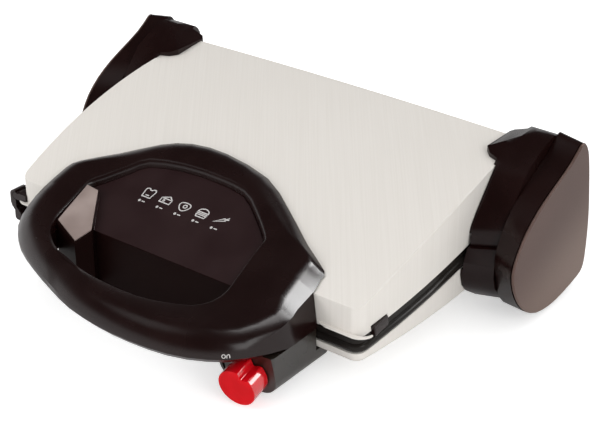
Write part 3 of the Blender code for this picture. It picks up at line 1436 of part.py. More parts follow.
def make_control_box():
    """Housing under the handle's right block, open below behind its cover."""
    side = BOX_RIGHT_X - BOX_LEFT_X
    front = KNOB_Y - side / 8
    shell = prism("control_box", box_section(0, BOX_TOP_Z, BOX_BOTTOM_Z), RING_FRONT_Y, BOX_BACK_Y, "Y")
    keep(shell, prism("plan", box_plan(0, front), -OVERRUN, BOX_TOP_Z * 2))
    keep(shell, prism("side", box_side(0, BOX_TOP_Z, BOX_BACK_Y), 0, FAR, "X"))
    cut(shell, front_face_cutter(0))
    hollow = box_section(BOX_WALL, BOX_TOP_Z - BOX_WALL, BOX_BOTTOM_Z + BOX_WALL)
    inner = prism("inner", hollow, RING_FRONT_Y, LID_FRONT_Y - BOX_WALL * 2, "Y")
    keep(inner, prism("plan", box_plan(BOX_WALL, front + BOX_WALL), -OVERRUN, BOX_TOP_Z * 2))
    cut(inner, front_face_cutter(BOX_WALL))
    cut(shell, inner)
    low, high = box_lid_bounds()
    cut(shell, box("mouth", (low[0] - FIT, low[1] - FIT, 0), (high[0] + FIT, high[1] + FIT, BOX_BOTTOM_Z + BOX_WALL + FIT)))
    hole = rod("hole", (0, 0), SHAFT_R + RUN, -OVERRUN, OVERRUN, "Z", SHAFT_SIDES)
    hole.data.transform(knob_space())
    return cut(shell, hole)


def box_lid_bounds():
    """Lowest and highest corner of the cover in the box's underside."""
    low = (BOX_LEFT_X + BOX_KEEL + FIT, KNOB_Y + BOX_KEEL + FIT, BOX_BOTTOM_Z)
    high = (BOX_RIGHT_X - BOX_KEEL - FIT, LID_FRONT_Y - BOX_KEEL / 2, BOX_BOTTOM_Z + BOX_LID_T)
    return low, high


def make_box_cover():
    return box("box_cover", *box_lid_bounds())


def make_thermostat():
    """Thermostat can behind the box's front wall, with a neck round the shaft."""
    seat = -BOX_WALL - FIT
    can = rod("thermostat", (0, 0), STAT_R, seat - STAT_LENGTH, seat, "Z", SHAFT_SIDES)
    cut(can, rod("bore", (0, 0), SHAFT_R + PIN_FIT, seat - STAT_LENGTH / 2, OVERRUN, "Z", SHAFT_SIDES))
    can.data.transform(knob_space())
    return can


def knob_outline():
    """End outline of the knob: round, with a pointer notch cut in from the top right."""
    notch = math.radians(62)
    half = math.radians(17)
    start = math.degrees(notch + half)
    end = math.degrees(notch - half) + 360
    outline = arc((0, 0), KNOB_R, start, end, KNOB_SIDES)
    depth = KNOB_R - KNOB_NOTCH
    outline.append((depth * math.cos(notch), depth * math.sin(notch)))
    return outline


def make_knob():
    """Round knob with a pointer notch, bored for the shaft."""
    knob = prism("knob", knob_outline(), RUN, KNOB_LENGTH)
    soften(knob, KNOB_EDGE, 2, 60)
    cut(knob, rod("bore", (0, 0), SHAFT_R + PIN_FIT, 0, SHAFT_IN_KNOB, "Z", SHAFT_SIDES))
    knob.data.transform(knob_space())
    return knob


def make_knob_shaft():
    shaft = rod("knob_shaft", (0, 0), SHAFT_R, -BOX_WALL - STAT_LENGTH / 2, SHAFT_IN_KNOB - FIT, "Z", SHAFT_SIDES)
    shaft.data.transform(knob_space())
    return shaft


# Small electrical parts in the base
def make_terminal_block():
    back = back_y(GLAND_X) - SHELL_WALL
    size = BLOCK_BOX
    low = (GLAND_X + GLAND_R, back - FIT - size[1], SHELL_BOTTOM_Z + SHELL_WALL + FIT)
    return box("terminal_block", low, (low[0] + size[0], low[1] + size[1], low[2] + size[2]))


def make_fuse():
    """Thermal fuse against the far side of the lower reflector."""
    level = -(PLATE_FLOOR + FIT + REFLECTOR_DEPTH + FIT + FUSE_R)
    middle = (REFLECTOR_FRONT + REFLECTOR_BACK) / 2 + REFLECTOR_DEPTH
    fuse = rod("thermal_fuse", (middle, level), FUSE_R, -FUSE_LENGTH / 2, FUSE_LENGTH / 2, "X", SCREW_SIDES)
    return to_world(fuse)


def build_base():
    frame = frame_at("base_frame", Matrix.Identity(4))
    finish([make_lower_shell()], frame, "brushed_silver")
    finish([make_lower_plate()], frame, "nonstick_black")
    finish([make_heater("lower_heater", 1)], frame, "heater_steel")
    finish([make_reflector("lower_reflector", 1), make_fuse()], frame, "steel")
    finish(pair(make_cheek(), "cheek") + pair(make_pod(), "pod_housing"), frame, "satin_black")
    finish(pair(make_cap(), "pod_cap"), frame, "taupe_grey")
    feet = pair(make_rear_foot(), "foot_rear") + [make_leg_foot(), make_box_foot()]
    finish(feet + [make_gland()], frame, "rubber_black")
    finish([make_front_leg(), make_control_box(), make_box_cover()], frame, "satin_black")
    finish([make_thermostat()], frame, "steel")
    finish([make_terminal_block()], frame, "ceramic_white")
    for name, (y, z) in zip(("front", "rear"), cheek_fixings()):
        finish(pair(side_screw("screw", y, z, SHELL_WALL), "cheek_screw_" + name), frame, "steel")
    return frame


def build_lid(parent):
    frame = frame_at("lid_frame", Matrix.Translation((0, PIVOT_Y, PIVOT_Z)), parent)
    finish([make_lid_cover()], frame, "brushed_silver")
    finish([make_upper_plate()], frame, "nonstick_black")
    finish([make_heater("upper_heater", -1)], frame, "heater_steel")
    finish([make_reflector("upper_reflector", -1)], frame, "steel")
    finish(pair(make_arm(), "lid_arm") + [make_handle_ring(), make_grip_cover()], frame, "satin_black")
    finish([make_panel()], frame, "panel_black")
    finish([make_thumb_pad()], frame, "taupe_grey")
    for name, (y, z) in zip(("front", "rear"), arm_fixings()):
        finish(pair(side_screw("screw", y, z, LID_WALL), "arm_screw_" + name), frame, "steel")
    for name, (x, y) in zip(("left", "middle", "right"), grip_fixings()):
        seat = RING_BOTTOM_Z + FIT - SCREW_HEAD_GAP
        finish([upright_screw("grip_screw_" + name, x, y, seat)], frame, "steel")
    for name, (x, y) in zip(("left", "middle", "right"), handle_fixings()):
        seat = lid_top(y - SCREW_HEAD_R) - LID_WALL - SCREW_HEAD_GAP
        finish([upright_screw("bezel_screw_" + name, x, y, seat)], frame, "steel")
    finish([make_latch_mount()], frame, "satin_black")
    axis = Vector((-half_width(LATCH_Y) - LATCH_PIN_OUT, LATCH_Y, LATCH_PIN_Z))
    finish([make_latch()], frame_at("latch_frame", Matrix.Translation(axis), frame), "satin_black")
    for side, clip in zip(("right", "left"), pair(make_clip(), "plate_clip")):
        sign = 1 if side == "right" else -1
        place = PLATE_SPACE @ Vector((sign * CLIP_OUT_X, CLIP_AT, (CLIP_LOW + CLIP_HIGH) / 2))
        finish([clip], frame_at("clip_frame_" + side, Matrix.Translation(place), frame), "satin_black")
    return frame


def build_hinge():
    frame = frame_at("float_frame", Matrix.Translation((0, PIVOT_Y, PIVOT_Z)))
    finish(pair(make_hinge_block(), "hinge_block") + pair(make_hinge_pin(), "hinge_pin"), frame, "steel")
    return frame


def build_knob():
    frame = frame_at("knob_frame", knob_space())
    finish([make_knob()], frame, "knob_red")
    finish([make_knob_shaft()], frame, "steel")
    return frame


clear_scene()
build_base()
build_lid(build_hinge())
build_knob()
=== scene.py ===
import json
import math
import bpy
from mathutils import Matrix, Vector
from mathutils.bvhtree import BVHTree


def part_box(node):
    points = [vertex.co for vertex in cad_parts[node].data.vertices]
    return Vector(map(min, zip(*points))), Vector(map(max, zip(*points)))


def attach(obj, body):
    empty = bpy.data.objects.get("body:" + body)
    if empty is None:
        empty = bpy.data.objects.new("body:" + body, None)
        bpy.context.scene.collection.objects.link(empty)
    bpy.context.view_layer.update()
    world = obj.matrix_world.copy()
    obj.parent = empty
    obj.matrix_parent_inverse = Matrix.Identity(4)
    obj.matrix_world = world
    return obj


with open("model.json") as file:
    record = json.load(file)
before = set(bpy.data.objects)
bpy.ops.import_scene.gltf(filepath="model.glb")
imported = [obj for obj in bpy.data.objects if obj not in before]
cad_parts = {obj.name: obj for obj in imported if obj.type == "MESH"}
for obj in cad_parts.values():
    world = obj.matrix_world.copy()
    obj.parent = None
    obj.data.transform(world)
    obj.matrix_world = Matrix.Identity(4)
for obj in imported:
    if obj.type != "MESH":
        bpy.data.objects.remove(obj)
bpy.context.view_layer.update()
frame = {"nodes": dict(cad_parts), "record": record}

nodes = frame["nodes"]

# Lengths are in metres. The prints are drawn in millimetres.

# Camera at the photograph's angle
AZIMUTH = math.radians(37.534)
ELEVATION = math.radians(28.235)
CAMERA_AT = (0.6350, -0.7518, 0.5824)
CAMERA_LENS = 96.0
CAMERA_SENSOR = 36.0
CAMERA_NEAR, CAMERA_FAR = 0.05, 100.0

# Light: levels of the plain surroundings, and how they look in reflections
WORLD_LEVEL = 0.77
HORIZON_LEVEL, CEILING_LEVEL = 1.0, 0.04
HORIZON_END, CEILING_START = 0.16, 0.42
LAMPS_AIM = Vector((0, 0, 0.05))

# Floor
FLOOR_REACH = 30.0
FLOOR_DROP = 0.0002
FLOOR_GREY = (0.90, 0.90, 0.90, 1)
FLOOR_LIFT = 0.40
FLOOR_BASE_LIFT = 0.10

# Black plastic and the grain of all mouldings
BLACK_DARK, BLACK_PALE = (0.0088, 0.0024, 0.0021), (0.0120, 0.0036, 0.0031)
GRAIN_DEPTH = 0.00003
GRAIN_SCALE = 1500.0

# Silver sheet's hairlines, in two widths, turned to the photograph's angle
HAIRLINES = (900, 9, 9)
BROAD_LINES = (380, 3, 3)
HAIRLINE_TURN = (0, 0, -AZIMUTH)

# Caps: which way their painted sheen, a lighter colour that stands in for light, grows, and over what span
PAINTED_SHEEN_RUN = (0, 0.35, -0.94)
PAINTED_SHEEN_HALF = 0.035

# Panel's sloping face, as in the part, and where its colour turns to the painted shade of the front wall
# below it
PANEL_BACK_Y, PANEL_BACK_Z = -0.010, 0.0822
PANEL_NOSE_Y, PANEL_NOSE_Z = -0.080, 0.0564
WALL_SHADE_START, WALL_SHADE_END = 0.0001, 0.0006

# Ring's polished right flank: where it ends, and the way it faces
FLANK_END_Y = -0.092
FLANK_FADE = 0.012
FLANK_OUT = (0.420, -0.180, 0.889)
FLANK_SPAN = (0.93, 0.975)

# Knob's axis, outwards, and the span that tells its face from its side
KNOB_OUT = (0.10294, -0.979413, -0.173648)
KNOB_FACE_SPAN = (0.85, 0.97)

# Smooth finish of the CAD nodes, and the caps' edge, which is coloured silver as a painted highlight
WELD = 0.000002
SHARP_ANGLE = math.radians(38)
CAP_HIGHLIGHT_EDGE = 0.0009

# Lid's rolled lip and the seal under it
LIP_THICK = 0.0011
LIP_REACH = 0.0032
LIP_RISE = 0.0016
LIP_BITE = 0.0006
LIP_EDGE = 0.0003
SEAL_REACH = 0.0006
SEAL_RISE = 0.0001
LID_CORNER = 0.0085
LIP_STARTS = (("right", 1, 0.1190), ("left", -1, -0.1270))
LIP_START_SHARE = 0.4
LIP_STEPS = 4
CORNER_STEPS, CORNER_STEP_ANGLE = 8, 10
CORNER_LOSS = 0.82

# Prints' lift off their face, and half the width of their lines in millimetres
PRINT_LIFT = 0.00008
GUIDE_LINE, LEGEND_LINE, TICK_LINE = 0.42, 0.28, 0.3

# Cooking guide on the panel, in millimetres
GUIDE_Y = -38.0
GUIDE_PITCH = 16.2
GUIDE_LEFT = -44.8
GUIDE_DROP = 7.6
DOT_X, DOT_SIZE = -2.2, 0.6
DASH_START, DASH_END = -0.2, 2.6

# Legend on the handle's end
LEGEND_AT = Vector((0.0995, -0.1290, 0.0430))
LEGEND_AIM = Vector((-0.66, 0.75, 0))
LEGEND_NEAR = 0.03

# Ticks round the knob, in degrees and millimetres
DIAL_TICKS = (165, 195)
DIAL_REACH = (19.6, 21.2)
DIAL_NEAR = 0.01


# Node trees
def new_material(name):
    made = bpy.data.materials.new(name)
    made.use_nodes = True
    tree = made.node_tree
    tree.nodes.clear()
    output = tree.nodes.new("ShaderNodeOutputMaterial")
    shader = tree.nodes.new("ShaderNodeBsdfPrincipled")
    tree.links.new(shader.outputs["BSDF"], output.inputs["Surface"])
    return made, tree, shader


def placed(tree, scale=(1, 1, 1), turn=(0, 0, 0)):
    """Coordinates of the piece's own frame, turned and then scaled."""
    coords = tree.nodes.new("ShaderNodeTexCoord")
    turned = tree.nodes.new("ShaderNodeMapping")
    turned.inputs["Rotation"].default_value = turn
    scaled = tree.nodes.new("ShaderNodeMapping")
    scaled.inputs["Scale"].default_value = scale
    tree.links.new(coords.outputs["Object"], turned.inputs["Vector"])
    tree.links.new(turned.outputs["Vector"], scaled.inputs["Vector"])
    return scaled.outputs["Vector"]


def noise(tree, vector, scale, detail=3.0, rough=0.5):
    made = tree.nodes.new("ShaderNodeTexNoise")
    made.inputs["Scale"].default_value = scale
    made.inputs["Detail"].default_value = detail
    made.inputs["Roughness"].default_value = rough
    tree.links.new(vector, made.inputs["Vector"])
    return made.outputs["Fac"]


def spread(tree, value, low, high, start=0.3, end=0.7):
    """A value mapped smoothly from a span, by default the noise's own, to a range."""
    made = tree.nodes.new("ShaderNodeMapRange")
    made.inputs["From Min"].default_value = start
    made.inputs["From Max"].default_value = end
    made.inputs["To Min"].default_value = low
    made.inputs["To Max"].default_value = high
    made.interpolation_type = "SMOOTHSTEP"
    tree.links.new(value, made.inputs["Value"])
    return made.outputs["Result"]


def set_or_link(tree, slot, value):
    if isinstance(value, bpy.types.NodeSocket):
        tree.links.new(value, slot)
    else:
        slot.default_value = value


def blend_colours(tree, factor, first, second):
    made = tree.nodes.new("ShaderNodeMix")
    made.data_type = "RGBA"
    slots = {slot.identifier: slot for slot in made.inputs}
    for socket, colour in (("A_Color", first), ("B_Color", second)):
        set_or_link(tree, slots[socket], (*colour, 1) if isinstance(colour, tuple) else colour)
    tree.links.new(factor, slots["Factor_Float"])
    return next(slot for slot in made.outputs if slot.identifier == "Result_Color")


def toned(tree, value, dark, pale):
    """Colour that drifts between two with a noise."""
    return blend_colours(tree, spread(tree, value, 0, 1), dark, pale)


def calculated(tree, operation, *values):
    made = tree.nodes.new("ShaderNodeMath")
    made.operation = operation
    for slot, value in zip(made.inputs, values):
        set_or_link(tree, slot, value)
    return made.outputs[0]


def part_of(tree, vector, letter):
    made = tree.nodes.new("ShaderNodeSeparateXYZ")
    tree.links.new(vector, made.inputs[0])
    return made.outputs[letter]


def along(tree, vector, direction):
    made = tree.nodes.new("ShaderNodeVectorMath")
    made.operation = "DOT_PRODUCT"
    made.inputs[1].default_value = direction
    tree.links.new(vector, made.inputs[0])
    return made.outputs["Value"]


def facing(tree, direction, span):
    """One where the surface faces along a direction, zero where it turns away from it."""
    coords = tree.nodes.new("ShaderNodeTexCoord")
    return spread(tree, along(tree, coords.outputs["Normal"], direction), 0, 1, *span)


def bump(tree, shader, height, distance, strength):
    made = tree.nodes.new("ShaderNodeBump")
    made.inputs["Strength"].default_value = strength
    made.inputs["Distance"].default_value = distance
    tree.links.new(height, made.inputs["Height"])
    tree.links.new(made.outputs["Normal"], shader.inputs["Normal"])


def grain(tree, shader, place, depth=GRAIN_DEPTH, scale=GRAIN_SCALE):
    """Fine spark-eroded grain of a moulding."""
    bump(tree, shader, noise(tree, place, scale, 2.0, 0.6), depth, 0.5)


def feed(tree, shader, **sockets):
    for name, value in sockets.items():
        tree.links.new(value, shader.inputs[name.replace("_", " ")])


def constants(shader, **values):
    for name, value in values.items():
        shader.inputs[name.replace("_", " ")].default_value = value


# Materials
def brushed_silver():
    """Pale warm silver lacquer with long fine upright hairlines and a soft cloudy tone."""
    made, tree, shader = new_material("brushed_silver_sheet")
    lines = noise(tree, placed(tree, HAIRLINES, HAIRLINE_TURN), 1.0, 2.0, 0.6)
    broad = noise(tree, placed(tree, BROAD_LINES, HAIRLINE_TURN), 1.0, 2.0, 0.5)
    cloud = noise(tree, placed(tree), 9.0, 2.0)
    fine = toned(tree, lines, (0.742, 0.706, 0.658), (0.788, 0.754, 0.710))
    soft = toned(tree, cloud, (0.757, 0.722, 0.676), (0.773, 0.738, 0.692))
    mixed = blend_colours(tree, spread(tree, broad, 0.35, 0.65), fine, soft)
    feed(tree, shader, Base_Color=mixed, Roughness=spread(tree, lines, 0.54, 0.60))
    constants(shader, Metallic=0.04, Specular_IOR_Level=0.12)
    bump(tree, shader, lines, 0.00001, 0.2)
    return made


def moulded(name, dark, pale, rough, specular, depth=GRAIN_DEPTH, scale=GRAIN_SCALE):
    """Moulded plastic: fine grain, slight cloudiness and a satin sheen."""
    made, tree, shader = new_material(name)
    place = placed(tree)
    cloud = noise(tree, place, 28.0)
    feed(tree, shader, Base_Color=toned(tree, cloud, dark, pale), Roughness=spread(tree, cloud, *rough))
    constants(shader, Specular_IOR_Level=specular)
    grain(tree, shader, place, depth, scale)
    return made


def cap_grey():
    """Taupe grey satin of the pods' caps, with a faint metallic fleck and a painted sheen: the colour turns
    lighter towards the bottom.
    """
    made, tree, shader = new_material("cap_taupe_grey")
    place = placed(tree)
    cloud = noise(tree, place, 14.0, 2.0)
    fleck = noise(tree, place, 2600.0, 1.0, 0.6)
    tone = toned(tree, cloud, (0.088, 0.053, 0.044), (0.112, 0.070, 0.060))
    # Painted sheen: the colour blends to a lighter taupe towards the bottom and back, standing in for light
    # falling there.
    rise = spread(tree, along(tree, place, PAINTED_SHEEN_RUN), 0, 1, -PAINTED_SHEEN_HALF, PAINTED_SHEEN_HALF)
    sheen = blend_colours(tree, rise, tone, (0.195, 0.138, 0.115))
    mixed = blend_colours(tree, spread(tree, fleck, 0, 0.25, 0.55, 0.8), sheen, (0.26, 0.20, 0.175))
    feed(tree, shader, Base_Color=mixed, Roughness=spread(tree, cloud, 0.34, 0.44))
    constants(shader, Metallic=0.15, Specular_IOR_Level=0.15)
    bump(tree, shader, fleck, 0.00001, 0.3)
    return made


def panel_black():
    """Grey-black of the sloping panel; the front wall below it is darkened with painted shade and made dull.
    """
    made, tree, shader = new_material("panel_black_plastic")
    place = placed(tree)
    cloud = noise(tree, place, 28.0)
    # Painted shade: the front wall, shaded by the ring above it, gets the blacker colour (0.0085, 0.0030,
    # 0.0026); the mask is one on the slope.
    unshaded_slope = spread(tree, part_of(tree, place, "Y"), 0, 1,
                   PANEL_NOSE_Y + WALL_SHADE_START, PANEL_NOSE_Y + WALL_SHADE_END)
    tone = toned(tree, cloud, (0.0205, 0.0084, 0.0090), (0.0260, 0.0112, 0.0118))
    feed(tree, shader,
         Base_Color=blend_colours(tree, unshaded_slope, (0.0085, 0.0030, 0.0026), tone),
         Specular_IOR_Level=spread(tree, unshaded_slope, 0.03, 0.24, 0, 1),
         Roughness=spread(tree, cloud, 0.34, 0.42))
    grain(tree, shader, place)
    return made


def nonstick():
    """Black non-stick coat over cast metal, with a fine orange peel."""
    made, tree, shader = new_material("nonstick_coat")
    place = placed(tree)
    peel = noise(tree, place, 420.0, 2.0)
    cloud = noise(tree, place, 30.0, 2.0)
    feed(tree, shader,
         Base_Color=toned(tree, cloud, (0.010, 0.008, 0.007), (0.017, 0.014, 0.012)),
         Roughness=spread(tree, peel, 0.16, 0.26))
    constants(shader, Specular_IOR_Level=0.14)
    bump(tree, shader, peel, 0.00003, 0.3)
    return made


def ring_black():
    """Satin black of the handle's ring, polished on the flank at its right end."""
    made, tree, shader = new_material("ring_black_plastic")
    place = placed(tree)
    cloud = noise(tree, place, 28.0)
    behind = spread(tree, part_of(tree, place, "Y"), 0, 1, FLANK_END_Y, FLANK_END_Y + FLANK_FADE)
    polish = calculated(tree, "MULTIPLY", behind, facing(tree, FLANK_OUT, FLANK_SPAN))
    feed(tree, shader,
         Base_Color=toned(tree, cloud, BLACK_DARK, BLACK_PALE),
         Roughness=spread(tree, cloud, 0.24, 0.29),
         Specular_IOR_Level=spread(tree, polish, 0.36, 1.0, 0, 1),
         Coat_Weight=polish)
    constants(shader, Coat_Roughness=0.22)
    grain(tree, shader, place)
    return made


def knob_red():
    """Saturated red plastic: dull front face, polished sides."""
    made, tree, shader = new_material("glossy_red")
    face = facing(tree, KNOB_OUT, KNOB_FACE_SPAN)
    cloud = noise(tree, placed(tree), 60.0, 2.0)
    feed(tree, shader,
         Base_Color=toned(tree, cloud, (0.62, 0.0015, 0.006), (0.72, 0.003, 0.010)),
         Roughness=spread(tree, cloud, 0.10, 0.16),
         Specular_IOR_Level=spread(tree, face, 0.5, 0.08, 0, 1),
         Coat_Weight=spread(tree, face, 1.0, 0.0, 0, 1))
    constants(shader, Coat_Roughness=0.05)
    return made


def steel(name, dark, pale, rough):
    made, tree, shader = new_material(name)
    turned = noise(tree, placed(tree), 300.0)
    feed(tree, shader, Base_Color=toned(tree, turned, dark, pale), Roughness=spread(tree, turned, *rough))
    constants(shader, Metallic=1.0)
    bump(tree, shader, turned, 0.00002, 0.3)
    return made


def print_ink():
    """Pale screen-printed ink with slightly uneven cover."""
    made, tree, shader = new_material("pale_ink")
    patch = noise(tree, placed(tree), 900.0, 2.0)
    feed(tree, shader,
         Base_Color=toned(tree, patch, (0.52, 0.50, 0.49), (0.62, 0.60, 0.59)),
         Roughness=spread(tree, patch, 0.45, 0.6))
    constants(shader, Specular_IOR_Level=0.3)
    return made


# Materials by the record's slots
MADE = {
    "brushed_silver": brushed_silver(),
    "satin_black": moulded("satin_black_plastic", BLACK_DARK, BLACK_PALE, (0.24, 0.29), 0.36),
    "panel_black": panel_black(),
    "taupe_grey": cap_grey(),
    "nonstick_black": nonstick(),
    "knob_red": knob_red(),
    "steel": steel("bright_steel", (0.50, 0.49, 0.48), (0.62, 0.61, 0.60), (0.24, 0.36)),
    "heater_steel": steel("heater_steel", (0.17, 0.155, 0.14), (0.27, 0.25, 0.23), (0.45, 0.62)),
    "rubber_black": moulded("rubber", (0.020, 0.019, 0.019), (0.032, 0.030, 0.030), (0.70, 0.85), 0.25,
                            depth=0.00006, scale=700.0),
    "ceramic_white": moulded("ivory_thermoset", (0.66, 0.63, 0.56), (0.76, 0.73, 0.68), (0.45, 0.60), 0.4),
}

# Materials of single nodes, which differ from their slot's
POD_BLACK = moulded("pod_black_plastic", BLACK_DARK, BLACK_PALE, (0.24, 0.30), 0.2)
POD_NODES = ("pod_housing", "cheek_left", "cheek_right", "lid_arm")
OWN = {
    "handle_ring": ring_black(),
    "control_box": moulded("box_black_plastic", (0.0110, 0.0072, 0.0050), (0.0150, 0.0100, 0.0070),
                           (0.26, 0.32), 0.8),
    # Painted highlight: the pad is coloured grey to stand in for the light its facet catches.
    "thumb_pad": moulded("pad_grey_painted_highlight", (0.250, 0.190, 0.172), (0.355, 0.282, 0.258),
                         (0.38, 0.52), 0.3),
    "plate_clip_left": MADE["satin_black"],
    "plate_clip_right": MADE["satin_black"],
}


# CAD nodes: their own material and a smooth finish over the facets
def smoother():
    """Modifier group: joins the facets, shades them smooth and keeps edges over an angle sharp."""
    group = bpy.data.node_groups.new("smooth_facets", "GeometryNodeTree")
    group.interface.new_socket("Geometry", in_out="INPUT", socket_type="NodeSocketGeometry")
    group.interface.new_socket("Geometry", in_out="OUTPUT", socket_type="NodeSocketGeometry")
    start = group.nodes.new("NodeGroupInput")
    end = group.nodes.new("NodeGroupOutput")
    plain = group.nodes.new("GeometryNodeRemoveAttribute")
    plain.inputs["Name"].default_value = "custom_normal"
    merge = group.nodes.new("GeometryNodeMergeByDistance")
    merge.inputs["Distance"].default_value = WELD
    smooth = group.nodes.new("GeometryNodeSetShadeSmooth")
    smooth.domain = "FACE"
    smooth.inputs["Shade Smooth"].default_value = True
    angle = group.nodes.new("GeometryNodeInputMeshEdgeAngle")
    over = group.nodes.new("FunctionNodeCompare")
    over.data_type = "FLOAT"
    over.operation = "GREATER_THAN"
    over.inputs["B"].default_value = SHARP_ANGLE
    sharp = group.nodes.new("GeometryNodeSetShadeSmooth")
    sharp.domain = "EDGE"
    sharp.inputs["Shade Smooth"].default_value = False
    link = group.links.new
    link(start.outputs[0], plain.inputs["Geometry"])
    link(plain.outputs["Geometry"], merge.inputs["Geometry"])
    link(merge.outputs["Geometry"], smooth.inputs["Geometry"])
    link(smooth.outputs["Geometry"], sharp.inputs["Geometry"])
    link(angle.outputs["Unsigned Angle"], over.inputs["A"])
    link(over.outputs["Result"], sharp.inputs["Selection"])
    link(sharp.outputs["Geometry"], end.inputs[0])
    return group


def soften(item, width, segments):
    """Rounds a piece's sharp edges."""
    soft = item.modifiers.new("edge", "BEVEL")
    soft.width = width
    soft.segments = segments
    soft.limit_method = "ANGLE"
    return soft


def finish_nodes():
    slot_of = {entry["node"]: entry["material_slot"] for entry in frame["record"]["subparts"]}
    group = smoother()
    for name, item in nodes.items():
        own = POD_BLACK if name.startswith(POD_NODES) else OWN.get(name)
        item.data.materials.clear()
        item.data.materials.append(own or MADE[slot_of[name]])
        faces = item.modifiers.new("smooth", "NODES")
        faces.node_group = group
        # Painted highlight: the caps' rounded edge gets the pale silver colour, standing in for a bright
        # line of light along it.
        if name.startswith("pod_cap"):
            item.data.materials.append(MADE["brushed_silver"])
            soften(item, CAP_HIGHLIGHT_EDGE, 3).material = 1
        even = item.modifiers.new("even", "WEIGHTED_NORMAL")
        even.keep_sharp = True


finish_nodes()


# Prints
PRINTS = print_ink()


def mesh_piece(name, vertices, faces, body, material):
    mesh = bpy.data.meshes.new(name)
    mesh.from_pydata(vertices, [], faces)
    mesh.materials.append(material)
    item = bpy.data.objects.new(name, mesh)
    bpy.context.scene.collection.objects.link(item)
    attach(item, body)
    return item


def ribbon(points, half, closed):
    """Pairs of side points of a line of even width, in its own plane."""
    count = len(points)
    sides = []
    for i, point in enumerate(points):
        before = points[(i - 1) % count] if closed or i > 0 else point
        after = points[(i + 1) % count] if closed or i < count - 1 else point
        run_in = (Vector(point) - Vector(before)).normalized() if before != point else None
        run_out = (Vector(after) - Vector(point)).normalized() if after != point else None
        run = ((run_in or run_out) + (run_out or run_in)).normalized()
        across = Vector((-run.y, run.x))
        side = Vector((-(run_out or run_in).y, (run_out or run_in).x))
        reach = half / max(0.6, across.dot(side))
        sides.append((Vector(point) + across * reach, Vector(point) - across * reach))
    return sides


def draw_lines(name, strokes, half, body, to_world):
    """Print made of lines: each stroke is a list of points and whether it closes."""
    vertices, faces = [], []
    for points, closed in strokes:
        sides = ribbon(points, half, closed)
        base = len(vertices)
        for pair in sides:
            vertices += [to_world(side.x, side.y) for side in pair]
        count = len(sides)
        for i in range(count if closed else count - 1):
            a, b = base + 2 * i, base + 2 * ((i + 1) % count)
            faces.append((a, a + 1, b + 1, b))
    mesh_piece(name, vertices, faces, body, PRINTS)


def arc(x, y, wide, high, start, end, steps):
    turns = [math.radians(start + (end - start) * i / steps) for i in range(steps + 1)]
    return [(x + wide * math.cos(turn), y + high * math.sin(turn)) for turn in turns]


def oval(x, y, wide, high, steps):
    return (arc(x, y, wide, high, 0, 360 - 360 / steps, steps - 1), True)


# Motifs of the panel's cooking guide, about ten millimetres wide, in millimetres
def toast():
    crust = arc(-2.6, 2.2, 1.9, 1.7, 200, 20, 6) + arc(2.6, 2.2, 1.9, 1.7, 160, -20, 6)
    return [(crust + [(3.6, -3.6), (-3.6, -3.6)], True), ([(-1.6, -1.9), (1.6, -1.9)], False)]


def cheese():
    wedge = [(-4.6, -2.9), (4.4, -2.9), (4.4, 0.7), (1.2, 3.2), (-4.6, 0.7)]
    return [(wedge, True), ([(-4.6, 0.7), (4.4, 0.7)], False), oval(-1.6, -1.2, 0.7, 0.7, 8)]


def egg():
    white = []
    for i in range(22):
        turn = math.tau * i / 22
        wave = 1 + 0.10 * math.sin(3 * turn)
        white.append((4.5 * math.cos(turn) * wave, 3.5 * math.sin(turn) * wave))
    return [(white, True), oval(0.5, 0.2, 1.4, 1.3, 12)]


def burger():
    bun = arc(0, 0.8, 4.4, 3.0, 0, 180, 9)
    base = [(-4.3, -1.6), (4.3, -1.6), (3.6, -3.4), (-3.6, -3.4)]
    return [(bun, True), ([(-4.7, -0.4), (4.7, -0.4)], False), (base, True)]


def carrot():
    root = [(-4.8, -2.8), (1.6, 2.3), (3.1, 0.6)]
    return [(root, True), ([(2.5, 1.7), (4.9, 3.7)], False), ([(2.7, 1.5), (5.4, 2.2)], False)]


def on_panel(x, y):
    """Print point in millimetres over the sloping panel."""
    rise, run = PANEL_BACK_Z - PANEL_NOSE_Z, PANEL_BACK_Y - PANEL_NOSE_Y
    steep = math.atan2(rise, run)
    lift = Vector((0, -math.sin(steep), math.cos(steep))) * PRINT_LIFT
    return Vector((x / 1000, y / 1000, PANEL_NOSE_Z + rise / run * (y / 1000 - PANEL_NOSE_Y))) + lift


def make_guide():
    """Five motifs in a row, each over a dot and a dash."""
    strokes = []
    for i, motif in enumerate((toast(), cheese(), egg(), burger(), carrot())):
        x = GUIDE_LEFT + GUIDE_PITCH * i
        for points, closed in motif:
            strokes.append(([(x + px, GUIDE_Y + py) for px, py in points], closed))
        y = GUIDE_Y - GUIDE_DROP
        strokes.append(oval(x + DOT_X, y, DOT_SIZE, DOT_SIZE, 8))
        strokes.append(([(x + DASH_START, y), (x + DASH_END, y)], False))
    draw_lines("cooking_guide_print", strokes, GUIDE_LINE, "lid", on_panel)


def projector(name, centre, aim, right, upward, near):
    """Print point in millimetres, cast along a line onto a node's face and lifted off it."""
    mesh = nodes[name].data
    tree = BVHTree.FromPolygons([vertex.co for vertex in mesh.vertices],
                                [tuple(face.vertices) for face in mesh.polygons])

    def place(x, y):
        start = centre + right * (x / 1000) + upward * (y / 1000) - aim * near
        point = tree.ray_cast(start, aim)[0]
        if point is None:
            raise RuntimeError("a print misses " + name)
        return point - aim * PRINT_LIFT * 1.5
    return place


def make_legend():
    """Word for the knob's first position, above the knob on the handle's end."""
    aim = LEGEND_AIM.normalized()
    right = Vector((aim.y, -aim.x, 0))
    place = projector("handle_ring", LEGEND_AT, aim, right, Vector((0, 0, 1)), LEGEND_NEAR)
    letter_o = oval(-1.5, 0, 1.1, 1.3, 14)
    letter_n = [(0.5, -1.35), (0.5, 0.5)] + arc(1.4, 0.35, 0.9, 0.9, 160, 20, 5) + [(2.3, 0.0), (2.3, -1.35)]
    draw_lines("on_legend_print", [letter_o, (letter_n, False)], LEGEND_LINE, "lid", place)


